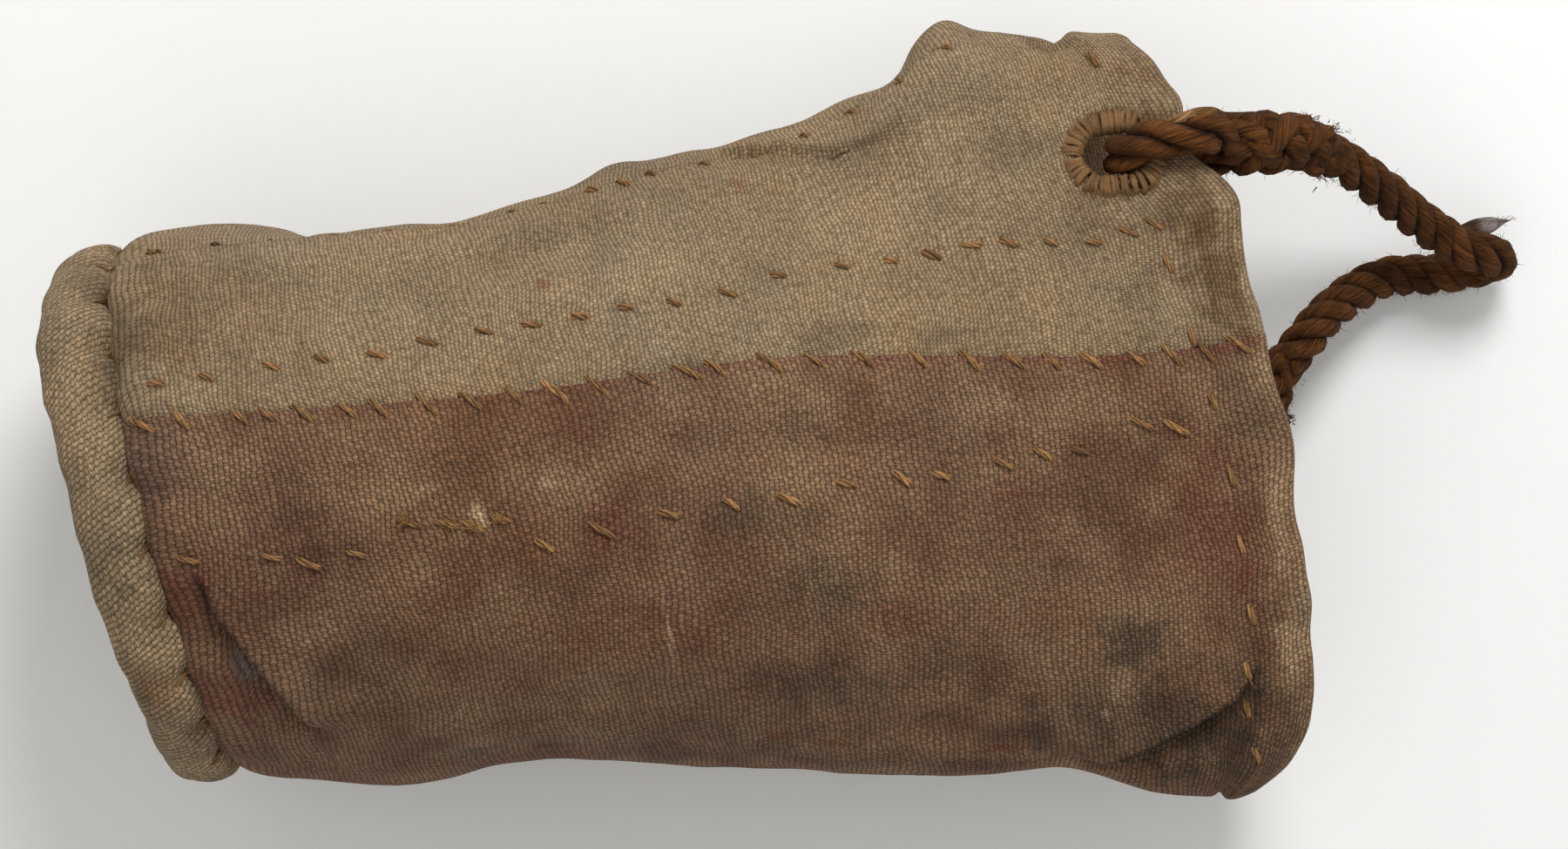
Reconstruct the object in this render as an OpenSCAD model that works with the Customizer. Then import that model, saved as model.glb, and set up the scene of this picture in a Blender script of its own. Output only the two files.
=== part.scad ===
// Hand-sewn canvas bag with a round roped base, lying on its side, and a spliced rope becket.
// The base faces -X, the open mouth faces +X and the surface it lies on is Z = 0.

/* [Bag] */

// Length from the base's outer face to the crest of the mouth's edge
bag_length = 277; // [255:1:300]
// Diameter of the canvas tube behind the base
tube_d = 135; // [130:1:142]
// Width of the flattened mouth
mouth_w = 190; // [178:1:200]
// Height of the flattened mouth
mouth_h = 60; // [52:1:68]
// Sideways drift of the mouth's middle from the base's axis
mouth_shift = 31; // [20:1:40]
// Height of the mouth's lower lip above the surface
mouth_lift = 21; // [19:0.5:26]
// How far the mouth's edge falls back at its two side folds
fold_back = 10; // [4:1:14]
// How far the lower lip falls back behind the upper lip
lip_back = 17; // [10:1:22]

/* [Drape] */

// Share of the length where the tube starts to flatten
flare_start = 0.28; // [0.2:0.01:0.35]
// Share of the length where the mouth's section is reached
flare_end = 0.94; // [0.88:0.01:0.97]
// Depth of the waist in the far side
waist_depth = 4; // [0:0.5:6]
// Height of the hump in the far side near the mouth
hump_height = 8; // [0:0.5:10]
// Swell of the near side at the middle
belly_height = 5; // [0:0.5:7]
// Depth of the notch in the near side behind the corner fold
notch_depth = 6; // [0:0.5:8]
// Depth of the dent in the upper wall behind the hump
dent_depth = 5; // [0:0.5:8]

/* [Base] */

// Outside diameter of the rolled rim
base_d = 132; // [126:1:138]
// Thickness of the rolled rim
rim_d = 17; // [14:0.5:19]
// Diameter of the rope inside the rolled rim
rim_core_d = 11; // [9:0.5:12]
// Thickness of the base disc
base_t = 2.4; // [1.6:0.1:3]
// Depth of the groove between the rim and the tube
groove_depth = 9; // [7:0.5:11]
// Length over which the tube swells out of the groove
groove_run = 6; // [4:0.5:9]

/* [Cloth] */

// Thickness of one layer of canvas
cloth_t = 1.6; // [1.2:0.1:1.8]
// Gap left between two layers of canvas
layer_gap = 0.25; // [0.2:0.05:0.3]
// Gap left behind the hem and the strip that line the wall
lining_gap = 0.4; // [0.4:0.05:0.6]
// Width of a lapped seam, in degrees round the tube
lap_angle = 8.5; // [6:0.5:10]
// Width of the hem turned in at the mouth
hem_w = 18; // [15:0.5:20]

/* [Stitches] */

// Thickness of the sewing twine
twine_d = 1.8; // [1.4:0.1:2.2]
// Length of one stitch
stitch_l = 8; // [6:0.5:9]
// Spacing of the stitches along a seam
stitch_pitch = 12; // [10:0.5:16]
// Spacing of the stitches round the rim
rim_pitch = 17; // [14:0.5:22]
// Gap left under a stitch
stitch_gap = 0.5; // [0.45:0.05:0.6]

/* [Eyelets] */

// Distance from the mouth's edge to the middle of the front eyelet
front_eyelet_back = 20; // [19:0.5:24]
// Distance from the mouth's edge to the middle of the rear eyelet
rear_eyelet_back = 18.5; // [18:0.5:22]
// Width of an eyelet's hole
eyelet_w = 11; // [10.8:0.1:12]
// How much longer than wide an eyelet's hole is
eyelet_stretch = 5; // [4:0.5:7]
// Thickness of the grommet inside an eyelet
grommet_d = 2.8; // [2.4:0.1:3]
// Thickness of the twine worked round an eyelet
eyelet_twine_d = 0.8; // [0.6:0.05:0.9]
// Number of twine turns worked round an eyelet
eyelet_turns = 26; // [20:2:30]

/* [Becket] */

// Diameter of the becket's rope
rope_d = 10.5; // [9:0.5:12]
// Diameter of the rope where it is drawn tight in an eye
eye_d = 10; // [9:0.1:10]
// Width of a splice at its thickest
splice_w = 15; // [13:0.5:17]
// Diameter of the loose strand at the becket's nose
strand_d = 5; // [4:0.5:6]
// Running gap between the rope and what it passes
rope_gap = 0.35; // [0.3:0.05:0.5]

/* [Hidden] */

// One node or all of them

// Colours of the cloth, twine and rope
tan_cloth = [0.56, 0.48, 0.36];
red_cloth = [0.42, 0.30, 0.23];
hem_cloth = [0.50, 0.42, 0.31];
twine_tan = [0.60, 0.44, 0.24];
eyelet_brown = [0.40, 0.27, 0.16];
rope_brown = [0.29, 0.18, 0.10];

// Facet counts of the cloth and the rope
cloth_rows = 24;
cloth_step = 4.5;
rope_sides = 10;
splice_sides = 12;

// Places along X
half_len = bag_length / 2;
base_x = -half_len;
rim_x = base_x + rim_d / 2;
seat_gap = 0.3;
tube_x = base_x + rim_d + seat_gap;
tube_len = half_len - tube_x;

// Radius of the rim's middle, and the height of the belly where the tube lies flat
rim_r = (base_d - rim_d) / 2;
rest_z = 0.4;

// Seam places round the tube, in degrees from +Y over the top, at the base and at the mouth
side_seam = [30, 20];
main_seam = [73.5, 82.5];
under_seam = [215, 212];
upper_row = [65.5, 62.5];
lower_row = [101, 95];
lap_ramp = 7;

// Eyelet places round the tube
front_eyelet_t = 48;
rear_eyelet_t = 253;
// Turn of the rear eyelet towards the becket
rear_eyelet_turn = 37;

// Small helpers
function mix(a, b, s) = a + (b - a) * s;
function clamp01(s) = min(max(s, 0), 1);
function ease(s) = let (c = clamp01(s)) c * c * (3 - 2 * c);
function unit(p) = p / norm(p);
function wrap(t) = t - 360 * floor((t + 180) / 360);
function bell(s) = exp(-s * s);
function bell_t(t, width) = exp(-(1 - cos(t)) / (1 - cos(width)));

// Drape of the canvas: each term is a swell or a dent at one place of the wall
function drape(v, t) =
    hump_height * bell((v - 0.79) / 0.08) * bell_t(t - 5, 35)
    - waist_depth * bell((v - 0.36) / 0.16) * bell_t(t, 40)
    - waist_depth * bell((v - 0.66) / 0.06) * bell_t(t, 35)
    + belly_height * bell((v - 0.42) / 0.14) * bell_t(t - 180, 40)
    - notch_depth * bell((v - 0.77) / 0.07) * bell_t(t - 180, 35)
    - dent_depth * bell((v - 0.66) / 0.09) * bell_t(t - 48, 20);

// Section of the tube at share v of its length
function flare(v) = ease((v - flare_start) / (flare_end - flare_start));
function groove(v) = groove_depth * exp(-v * tube_len / groove_run);
function half_w(v) = mix(tube_d, mouth_w, flare(v)) / 2 - groove(v);
function half_h(v) = mix(tube_d, mouth_h, flare(v)) / 2 - groove(v);
function mid_y(v) = -mouth_shift * min(v / flare_end, 1);
function lift_z(v) = mouth_lift * ease((v - 0.45) / (flare_end - 0.45));
function mid_z(v) = lift_z(v) + half_h(v) + groove(v) - (tube_d - base_d) / 2;
function edge_x(t) = half_len - fold_back * cos(t) * cos(t) - (sin(t) < 0 ? lip_back * sin(t) * sin(t) : 0);

// Point of the wall at share v of the length, angle t and height h off the cloth's outer face
function raw_wall(v, t, h) =
    let (g = h + drape(v, t))
    [
        mix(tube_x, edge_x(t), v),
        mid_y(v) + (half_w(v) + g) * cos(t),
        max(mid_z(v) + (half_h(v) + g) * sin(t), rest_z - h)
    ];

// The bag's width is centred on Y = 0
probe_y = [for (i = [0 : 60]) for (t = [-25 : 5 : 25]) raw_wall(i / 60, t, 0).y];
probe_low_y = [for (i = [0 : 60]) for (t = [155 : 5 : 205]) raw_wall(i / 60, t, 0).y];
shift_y = -(max(probe_y) + min(probe_low_y)) / 2;
base_y = shift_y;
base_z = base_d / 2;

function wall(v, t, h) = raw_wall(v, t, h) + [0, shift_y, 0];
function seam_t(seam, v) = mix(seam[0], seam[1], v);

// Share of the length that lies a distance back from the mouth's edge
function back_v(t, back) = 1 - back / (edge_x(t) - tube_x);

// Height that a lapped seam adds on top of the cloth
function lap_height(x) =
    x > -0.3 && x < lap_angle + lap_ramp
    ? (cloth_t + layer_gap) * (1 - ease((x - lap_angle) / lap_ramp))
    : 0;
function cover(v, t) = max([
    for (seam = [side_seam, main_seam, under_seam]) lap_height(wrap(t - seam_t(seam, v)))
]);

// Frame on the wall: along the bag, round it, outward, and the point itself
function wall_frame(v, t, h) =
    let (
        s = unit(wall(v + 0.01, t, h) - wall(v - 0.01, t, h)),
        r = wall(v, t - 1, h) - wall(v, t + 1, h),
        n = unit(cross(s, r)),
        p = wall(v, t, h)
    )
    [s, cross(n, s), n, p];

// Frame turned about its own outward direction
function turned(f, a) = [
    cos(a) * f[0] + sin(a) * f[1],
    cos(a) * f[1] - sin(a) * f[0],
    f[2],
    f[3]
];

module at_frame(f) {
    multmatrix([
        [f[0].x, f[1].x, f[2].x, f[3].x],
        [f[0].y, f[1].y, f[2].y, f[3].y],
        [f[0].z, f[1].z, f[2].z, f[3].z],
        [0, 0, 0, 1]
    ])
        children();
}

// Closed skin between an outer and an inner grid of the same rows and columns
module shell(outer, inner) {
    rows = len(outer);
    cols = len(outer[0]);
    count = rows * cols;
    points = concat([for (row = outer) each row], [for (row = inner) each row]);
    last_r = rows - 1;
    last_c = cols - 1;
    faces = concat(
        [for (i = [0 : rows - 2]) for (j = [0 : cols - 2])
            let (a = i * cols + j, b = a + 1, c = a + cols + 1, d = a + cols)
            each [[a, c, b], [a, d, c], [a + count, b + count, c + count], [a + count, c + count, d + count]]],
        [for (j = [0 : cols - 2])
            let (a = j, b = last_r * cols + j)
            each [[a, a + count + 1, a + count], [a, a + 1, a + count + 1],
                  [b, b + count, b + count + 1], [b, b + count + 1, b + 1]]],
        [for (i = [0 : rows - 2])
            let (a = i * cols, b = i * cols + last_c)
            each [[a, a + count, a + cols + count], [a, a + cols + count, a + cols],
                  [b, b + cols + count, b + count], [b, b + cols, b + cols + count]]]
    );
    polyhedron(points, faces, convexity = 8);
}

// Closed band that runs all the way round, between an outer and an inner grid
module band(outer, inner) {
    rows = len(outer);
    cols = len(outer[0]);
    count = rows * cols;
    points = concat([for (row = outer) each row], [for (row = inner) each row]);
    faces = concat(
        [for (i = [0 : rows - 2]) for (j = [0 : cols - 1])
            let (k = (j + 1) % cols, a = i * cols + j, b = i * cols + k, c = b + cols, d = a + cols)
            each [[a, c, b], [a, d, c], [a + count, b + count, c + count], [a + count, c + count, d + count]]],
        [for (j = [0 : cols - 1])
            let (k = (j + 1) % cols, a = j, b = k, c = (rows - 1) * cols + j, d = (rows - 1) * cols + k)
            each [[a, b + count, a + count], [a, b, b + count],
                  [c, c + count, d + count], [c, d + count, d]]]
    );
    polyhedron(points, faces, convexity = 8);
}

// Share of the length of row i, closer together near the base
row_power = 1.35;
function row_v(i) = pow(i / cloth_rows, row_power);

// One panel from its own seam, where it laps over its neighbour, to its far edge under the next one.
// The columns of both laps fall in the same places, so two lapped layers lie parallel.
module panel(from, to, turn) {
    near_lap = [0, lap_angle / 2, lap_angle, lap_angle + lap_ramp / 2, lap_angle + lap_ramp];
    far_lap = [0, lap_angle / 2, lap_angle];
    steps = ceil((to[0] + turn - from[0] - lap_angle - lap_ramp) / cloth_step);
    function columns(v) =
        let (first = seam_t(from, v), plain = first + lap_angle + lap_ramp, last = seam_t(to, v) + turn)
        concat(
            [for (x = near_lap) first + x],
            [for (j = [1 : steps - 1]) mix(plain, last, j / steps)],
            [for (x = far_lap) last + x]
        );
    function grid(depth) = [for (i = [0 : cloth_rows]) let (v = row_v(i)) [
        for (t = columns(v)) wall(v, t, lap_height(t - seam_t(from, v)) - depth)
    ]];
    shell(grid(0), grid(cloth_t));
}

// Worked eyelet: sizes of its ring
ring_r = grommet_d / 2 + eyelet_twine_d + 0.1;
ring_end_r = eyelet_w / 2 + ring_r;
hole_r = ring_end_r + ring_r + seat_gap;
eyelet_depth = -(cloth_t + lining_gap / 2);
front_eyelet_v = back_v(front_eyelet_t, front_eyelet_back);
rear_eyelet_v = back_v(rear_eyelet_t, rear_eyelet_back);
front_frame = wall_frame(front_eyelet_v, front_eyelet_t, eyelet_depth);
rear_frame = turned(wall_frame(rear_eyelet_v, rear_eyelet_t, eyelet_depth), -rear_eyelet_turn);

// Long hole through the cloth for an eyelet
module eyelet_cut(f) {
    at_frame(f) {
        for (side = [-1, 1])
            translate([side * eyelet_stretch / 2, 0, 0])
                cylinder(h = 24, r = hole_r, center = true, $fn = 48);
        cube([eyelet_stretch, 2 * hole_r, 24], center = true);
    }
}

// Grommet ring: two half rings joined by two straight lengths
module grommet(f) {
    at_frame(f) {
        for (side = [0, 180])
            rotate([0, 0, side])
                translate([eyelet_stretch / 2, 0, 0])
                    rotate([0, 0, -90])
                        rotate_extrude(angle = 180, $fn = 64)
                            translate([ring_end_r, 0])
                                circle(d = grommet_d, $fn = 24);
        for (side = [-1, 1])
            translate([0, side * ring_end_r, 0])
                rotate([0, 90, 0])
                    cylinder(h = eyelet_stretch, d = grommet_d, center = true, $fn = 24);
    }
}

// Twine turns spaced evenly round the grommet
module eyelet_turns_at(f) {
    half_turn = PI * ring_end_r;
    girth = 2 * (half_turn + eyelet_stretch);
    coil_r = grommet_d / 2 + eyelet_twine_d / 2 + 0.1;
    at_frame(f)
        for (k = [0 : eyelet_turns - 1]) {
            s = (k + 0.5) * girth / eyelet_turns;
            side = s < half_turn + eyelet_stretch ? 0 : 1;
            q = s - side * (half_turn + eyelet_stretch);
            a = q < half_turn ? -90 + 180 * q / half_turn : 90;
            along = q < half_turn ? eyelet_stretch / 2 : eyelet_stretch / 2 - (q - half_turn);
            rotate([0, 0, 180 * side])
                translate([along + ring_end_r * cos(a), ring_end_r * sin(a), 0])
                    rotate([0, 0, a])
                        rotate([90, 0, 0])
                            rotate_extrude($fn = 32)
                                translate([coil_r, 0])
                                    circle(d = eyelet_twine_d, $fn = 16);
        }
}

// One stitch of twine between two points
module stitch(p, q) {
    r = twine_d / 2;
    span = q - p;
    l = norm(span);
    translate((p + q) / 2)
        rotate([0, acos(span.z / l), atan2(span.y, span.x)])
            rotate_extrude($fn = 24)
                polygon([[0, -l / 2], [r, -l / 2 + r], [r, l / 2 - r], [0, l / 2]]);
}

// Row of slanting stitches along a seam; lean turns each stitch across the seam
module seam_row(seam, offset_t, from_v, to_v, lean) {
    count = floor((to_v - from_v) * tube_len / stitch_pitch);
    for (k = [0 : count]) {
        v = mix(from_v, to_v, k / count);
        t = seam_t(seam, v) + offset_t;
        dv = stitch_l / 2 * cos(lean) / tube_len;
        dt = stitch_l / 2 * sin(lean) / (PI * tube_d / 360);
        h = twine_d / 2 + stitch_gap + max(cover(v, t - dt), cover(v, t + dt), cover(v, t));
        stitch(wall(v - dv, t - dt, h), wall(v + dv, t + dt, h));
    }
}

// Sub-parts of the bag

// Upper panel in the bleached cloth, with the front eyelet's hole
module tan_panel() {
    color(tan_cloth)
        difference() {
            panel(side_seam, main_seam, 0);
            eyelet_cut(front_frame);
        }
}

// Stained panel whose edge laps over the upper panel
module red_panel() {
    color(red_cloth)
        panel(main_seam, under_seam, 0);
}

// Panel of the hidden side and the underside, with the rear eyelet's hole
module back_panel() {
    color(tan_cloth)
        difference() {
            panel(under_seam, side_seam, 360);
            eyelet_cut(rear_frame);
        }
}

// Strip sewn inside behind the main seam
module seam_strip() {
    h = -cloth_t - lining_gap;
    first_row = 3;
    last_row = floor(cloth_rows * pow(back_v(90, hem_w + 3), 1 / row_power));
    steps = 10;
    edge_t = 2;
    grid = function (depth) [for (i = [first_row : last_row]) let (v = row_v(i)) [
        for (j = [0 : steps])
            let (t = mix(seam_t(upper_row, v) - edge_t, seam_t(lower_row, v) + edge_t, j / steps))
            wall(v, t, depth)
    ]];
    color(hem_cloth)
        shell(grid(h), grid(h - cloth_t));
}

// Hem turned in round the mouth
module mouth_tabling() {
    h = -cloth_t - lining_gap;
    edge_in = 0.6;
    rows = 3;
    steps = 90;
    grid = function (depth) [for (i = [0 : rows]) [
        for (j = [0 : steps - 1])
            let (t = 360 * j / steps, back = mix(hem_w, edge_in, i / rows))
            wall(back_v(t, back), t, depth)
    ]];
    color(hem_cloth)
        difference() {
            band(grid(h), grid(h - cloth_t));
            eyelet_cut(front_frame);
            eyelet_cut(rear_frame);
        }
}

// Round base, flush with the rim
module base_disc() {
    inset = rim_d / 2 - base_t;
    r = rim_r - sqrt(rim_d * rim_d / 4 - inset * inset) - seat_gap;
    color(tan_cloth)
        translate([base_x, base_y, base_z])
            rotate([0, 90, 0])
                cylinder(h = base_t, r = r, $fn = 96);
}

// Canvas rolled round the rim's rope
module base_rim() {
    color(tan_cloth)
        translate([rim_x, base_y, base_z])
            rotate([0, 90, 0])
                rotate_extrude($fn = 96)
                    translate([rim_r, 0])
                        difference() {
                            circle(d = rim_d, $fn = 48);
                            circle(d = rim_core_d + 2 * layer_gap, $fn = 48);
                        }
}

// Rope grommet inside the rolled rim
module rim_core() {
    color(rope_brown)
        translate([rim_x, base_y, base_z])
            rotate([0, 90, 0])
                rotate_extrude($fn = 96)
                    translate([rim_r, 0])
                        circle(d = rim_core_d, $fn = 48);
}

module front_grommet() {
    color(eyelet_brown)
        grommet(front_frame);
}

module rear_grommet() {
    color(eyelet_brown)
        grommet(rear_frame);
}

module front_eyelet_twine() {
    color(eyelet_brown)
        eyelet_turns_at(front_frame);
}

module rear_eyelet_twine() {
    color(eyelet_brown)
        eyelet_turns_at(rear_frame);
}

// Stitches over the stained panel's lapped edge
module main_seam_stitches() {
    color(twine_tan)
        seam_row(main_seam, 1.5, 0.07, 0.97, 60);
}

// Stitches that hold the strip's upper edge
module upper_row_stitches() {
    color(twine_tan)
        seam_row(upper_row, 0, 0.09, 0.9, 20);
}

// Stitches that hold the strip's lower edge
module lower_row_stitches() {
    color(twine_tan)
        seam_row(lower_row, 0, 0.09, 0.9, 25);
}

module side_seam_stitches() {
    color(twine_tan)
        seam_row(side_seam, 4, 0.07, 0.86, 45);
}

module under_seam_stitches() {
    color(twine_tan)
        seam_row(under_seam, 3, 0.07, 0.86, 45);
}

// Stitches round the hem, left out where an eyelet lies
module hem_stitches() {
    count = 34;
    back = hem_w - 2;
    clear_w = hole_r + stitch_l / 2 + 2;
    color(twine_tan)
        for (k = [0 : count - 1]) {
            t = 360 * (k + 0.5) / count;
            v = back_v(t, back);
            spread = 0.36 * stitch_l / norm(wall(v, t + 1, 0) - wall(v, t, 0));
            h = twine_d / 2 + stitch_gap + max(cover(v, t - spread), cover(v, t), cover(v, t + spread));
            middle = wall(v, t, 0);
            fold = abs(cos(t)) > 0.92;
            if (!fold
                && norm(middle - front_frame[3]) > clear_w
                && norm(middle - rear_frame[3]) > clear_w)
                stitch(wall(v, t - spread, h), wall(v, t + spread, h));
        }
}

// Stitches that bridge the groove from the rim to the tube
module rim_stitches() {
    count = floor(PI * base_d / rim_pitch);
    reach = rim_d / 2 + twine_d / 2 + stitch_gap;
    rim_angle = 40;
    tube_reach = 4.5;
    v = tube_reach / tube_len;
    color(twine_tan)
        for (k = [0 : count - 1]) {
            t = 360 * (k + 0.5) / count;
            rim_p = [
                rim_x + reach * cos(rim_angle),
                base_y + (rim_r + reach * sin(rim_angle)) * cos(t),
                base_z + (rim_r + reach * sin(rim_angle)) * sin(t)
            ];
            h = twine_d / 2 + stitch_gap / 2 + cover(v, t);
            stitch(rim_p, wall(v, t, h));
        }
}

// Becket

// Smooth curve through hand-chosen points
function curve_point(p, i, s) =
    let (
        n = len(p) - 1,
        a = p[max(i - 1, 0)], b = p[i], c = p[min(i + 1, n)], d = p[min(i + 2, n)],
        s2 = s * s, s3 = s2 * s
    )
    (2 * b + (c - a) * s + (2 * a - 5 * b + 4 * c - d) * s2 + (3 * b - a - 3 * c + d) * s3) / 2;
function curve(p, n) = concat(
    [for (i = [0 : len(p) - 2]) for (k = [0 : n - 1]) curve_point(p, i, k / n)],
    [p[len(p) - 1]]
);

// Direction of a path at each of its points
function path_dir(p, i) = unit(p[min(i + 1, len(p) - 1)] - p[max(i - 1, 0)]);
// Cross direction carried along the path without twist
function carried(p, i, start) =
    i == 0
    ? unit(start - (start * path_dir(p, 0)) * path_dir(p, 0))
    : let (u = carried(p, i - 1, start), d = path_dir(p, i)) unit(u - (u * d) * d);

// Tube along a path; each ring has its own two half-widths, along and across the start direction
module tube(path, size, start, sides) {
    n = len(path);
    points = [for (i = [0 : n - 1])
        let (d = path_dir(path, i), u = carried(path, i, start), w = cross(d, u))
        for (k = [0 : sides - 1])
            let (a = 360 * k / sides)
            path[i] + size[i][0] * cos(a) * u + size[i][1] * sin(a) * w
    ];
    faces = concat(
        [for (k = [1 : sides - 2]) [0, k, k + 1]],
        [for (k = [1 : sides - 2]) let (e = (n - 1) * sides) [e, e + k + 1, e + k]],
        [for (i = [0 : n - 2]) for (k = [0 : sides - 1])
            let (a = i * sides + k, b = i * sides + (k + 1) % sides, c = b + sides, d = a + sides)
            each [[a, c, b], [a, d, c]]]
    );
    polyhedron(points, faces, convexity = 6);
}

// An eye goes through its hole and round the hem: one leg lies close along the cloth and the other
// hangs clear of it, so that the becket can swing up
eye_r = eye_d / 2;
ring_end = eyelet_stretch / 2 + ring_end_r;
hole_s = 1.5;
swing_tilt = 16.5;
hem_half = cloth_t + lining_gap / 2;
close_n = max(ring_r, hem_half) + eye_r + rope_gap;
slack_n = close_n + (ring_end - hole_s) * sin(swing_tilt);
bend_r = (close_n + slack_n) / 2;
bend_n = (close_n - slack_n) / 2;
throat_half = eye_r + 0.2;
hem_crown = 2;
throat_n = -2;

// Height of the slack leg where it passes the hem's edge
function slack_at(edge_s) =
    (hem_half + eye_r + rope_gap + (edge_s - hole_s) * sin(swing_tilt)) / cos(swing_tilt);
function leg(side, near_n, edge_s, edge_n, throat_s) = [
    [ring_end, side * near_n],
    [edge_s, side * edge_n],
    [throat_s - 6, throat_n + side * (throat_half + 1)],
    [throat_s - 2, throat_n + side * throat_half]
];
function bend() = [
    for (a = [60 : -20 : -60]) [hole_s + bend_r - bend_r * cos(a), bend_n + bend_r * sin(a)]
];
function reversed(p) = [for (i = [len(p) - 1 : -1 : 0]) p[i]];
function eye_route(edge_s, throat_s) = concat(
    [[throat_s, throat_n + throat_half]],
    curve(concat(
        reversed(leg(1, close_n, edge_s, close_n + hem_crown, throat_s)),
        bend(),
        leg(-1, slack_n, edge_s, slack_at(edge_s), throat_s)
    ), 2),
    [[throat_s, throat_n - throat_half]]
);

// Frame of an eye: along its length, towards its close leg, and the middle of its hole
front_eye_frame = [front_frame[0], front_frame[2], front_frame[3]];
rear_eye_frame = [rear_frame[0], -rear_frame[2], rear_frame[3]];
function eye_point(e, s, n) = e[2] + s * e[0] + n * e[1];

// Where each eye passes the hem's edge, and where its two legs meet
front_edge_s = front_eyelet_back + 1;
front_throat_s = front_edge_s + 10.5;
rear_edge_s = rear_eyelet_back / cos(rear_eyelet_turn) + 3;
rear_throat_s = rear_edge_s + 10.5;

module eye(e, edge_s, throat_s) {
    path = [for (q = eye_route(edge_s, throat_s)) eye_point(e, q.x, q.y)];
    tube(path, [for (p = path) [eye_r, eye_r]], cross(e[0], e[1]), rope_sides);
}

// Route of the becket past the mouth, from the front splice round the nose to the rear splice
mouth_x = half_len;
mouth_y = mid_y(1) + shift_y;
becket_points = [
    [25, 54, 57], [33, 48, 48], [41, 40.5, 39], [48.5, 32.5, 31.5], [54, 27, 27], [58.5, 23, 25],
    [63.8, 20.3, 23], [67.3, 18.8, 19.4], [68.6, 18, 14.8], [67.3, 17.6, 10.2], [63.6, 17.4, 7],
    [58.5, 17.6, 5.8], [51, 18.5, 6.2], [42, 20, 9], [33, 18.5, 14], [24, 15, 20], [16, 9.8, 24], [9, 4.5, 24]
];
becket_route = [for (p = becket_points) p + [mouth_x, mouth_y, 0]];
becket_path = curve(becket_route, 2);

// Curve between two ends whose directions are set by two handles
function bezier(a, b, c, d, n) = [for (k = [0 : n])
    let (s = k / n, r = 1 - s)
    r * r * r * a + 3 * r * r * s * b + 3 * r * s * s * c + s * s * s * d
];

// A splice swells from the rope to hold both legs of its eye side by side
splice_lead = 2;
splice_ease = 0.45;
splice_rings = 8;
taper_start = 0.25;
splice_gap = 0.15;
module splice(e, throat_s, rope_end, rope_dir) {
    root = eye_point(e, throat_s + splice_gap, throat_n);
    tip = rope_end - splice_gap * rope_dir;
    first = root + splice_lead * e[0];
    last = tip - splice_lead * rope_dir;
    reach = splice_ease * norm(last - first);
    path = concat(
        [root],
        bezier(first, first + reach * e[0], last - reach * rope_dir, last, splice_rings),
        [tip]
    );
    n = len(path) - 1;
    tall = 2 * eye_r + 0.6;
    size = [for (i = [0 : n])
        let (late = ease((i / n - taper_start) / (1 - taper_start)), even = ease(i / n))
        [mix(splice_w / 2, rope_d / 2, late), mix(tall, rope_d / 2, even)]
    ];
    tube(path, size, cross(e[0], e[1]), splice_sides);
}

module front_eye() {
    color(rope_brown)
        eye(front_eye_frame, front_edge_s, front_throat_s);
}

module rear_eye() {
    color(rope_brown)
        eye(rear_eye_frame, rear_edge_s, rear_throat_s);
}

module front_splice() {
    color(rope_brown)
        splice(front_eye_frame, front_throat_s, becket_path[0], path_dir(becket_path, 0));
}

module rear_splice() {
    last = len(becket_path) - 1;
    color(rope_brown)
        splice(rear_eye_frame, rear_throat_s, becket_path[last], -path_dir(becket_path, last));
}

module becket_rope() {
    color(rope_brown)
        tube(becket_path, [for (p = becket_path) [rope_d / 2, rope_d / 2]], [0, 0, 1], rope_sides);
}

// Broken strand that stands off the nose
strand_points = [[58, 26.9, 18.2], [63, 27.1, 19.1], [68.5, 27, 19.3], [73.5, 27, 18.2]];
module loose_strand() {
    path = curve([for (p = strand_points) p + [mouth_x, mouth_y, 0]], 3);
    n = len(path) - 1;
    color(rope_brown)
        tube(path, [for (i = [0 : n]) [strand_d / 2 * (1 - 0.4 * i / n), strand_d / 4]], [0, 0, 1], 8);
}

// The becket swings about the line through the rope's middle in its two holes
echo(
    front_pivot = eye_point(front_eye_frame, hole_s, 0),
    rear_pivot = eye_point(rear_eye_frame, hole_s, 0)
);

tan_panel();
red_panel();
back_panel();
seam_strip();
mouth_tabling();
base_disc();
base_rim();
rim_core();
front_grommet();
front_eyelet_twine();
rear_grommet();
rear_eyelet_twine();
main_seam_stitches();
upper_row_stitches();
lower_row_stitches();
side_seam_stitches();
under_seam_stitches();
hem_stitches();
rim_stitches();
front_eye();
front_splice();
becket_rope();
rear_splice();
rear_eye();
loose_strand();
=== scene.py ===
"""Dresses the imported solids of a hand-sewn canvas bag with cloth, twine, worked eyelets and laid rope."""

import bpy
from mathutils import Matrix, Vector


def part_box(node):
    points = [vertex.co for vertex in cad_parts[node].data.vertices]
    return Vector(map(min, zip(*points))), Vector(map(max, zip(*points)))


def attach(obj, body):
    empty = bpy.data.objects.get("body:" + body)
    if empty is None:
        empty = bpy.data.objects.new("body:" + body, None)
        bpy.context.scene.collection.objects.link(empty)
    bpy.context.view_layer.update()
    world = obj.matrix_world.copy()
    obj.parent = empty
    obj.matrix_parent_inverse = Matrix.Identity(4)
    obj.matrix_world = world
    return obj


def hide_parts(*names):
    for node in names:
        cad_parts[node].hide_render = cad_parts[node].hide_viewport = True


bl_info = {
    "name": "Sewn canvas bag",
    "version": (1, 0, 0),
    "blender": (4, 5, 0),
    "location": "View3D > Sidebar > Canvas bag",
    "description": "Cloth panels, twine stitches, worked eyelets and a spliced becket over the packed solids",
    "category": "Object",
}

import math

import bpy
import numpy as np
from mathutils import Vector
from mathutils.bvhtree import BVHTree

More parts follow.
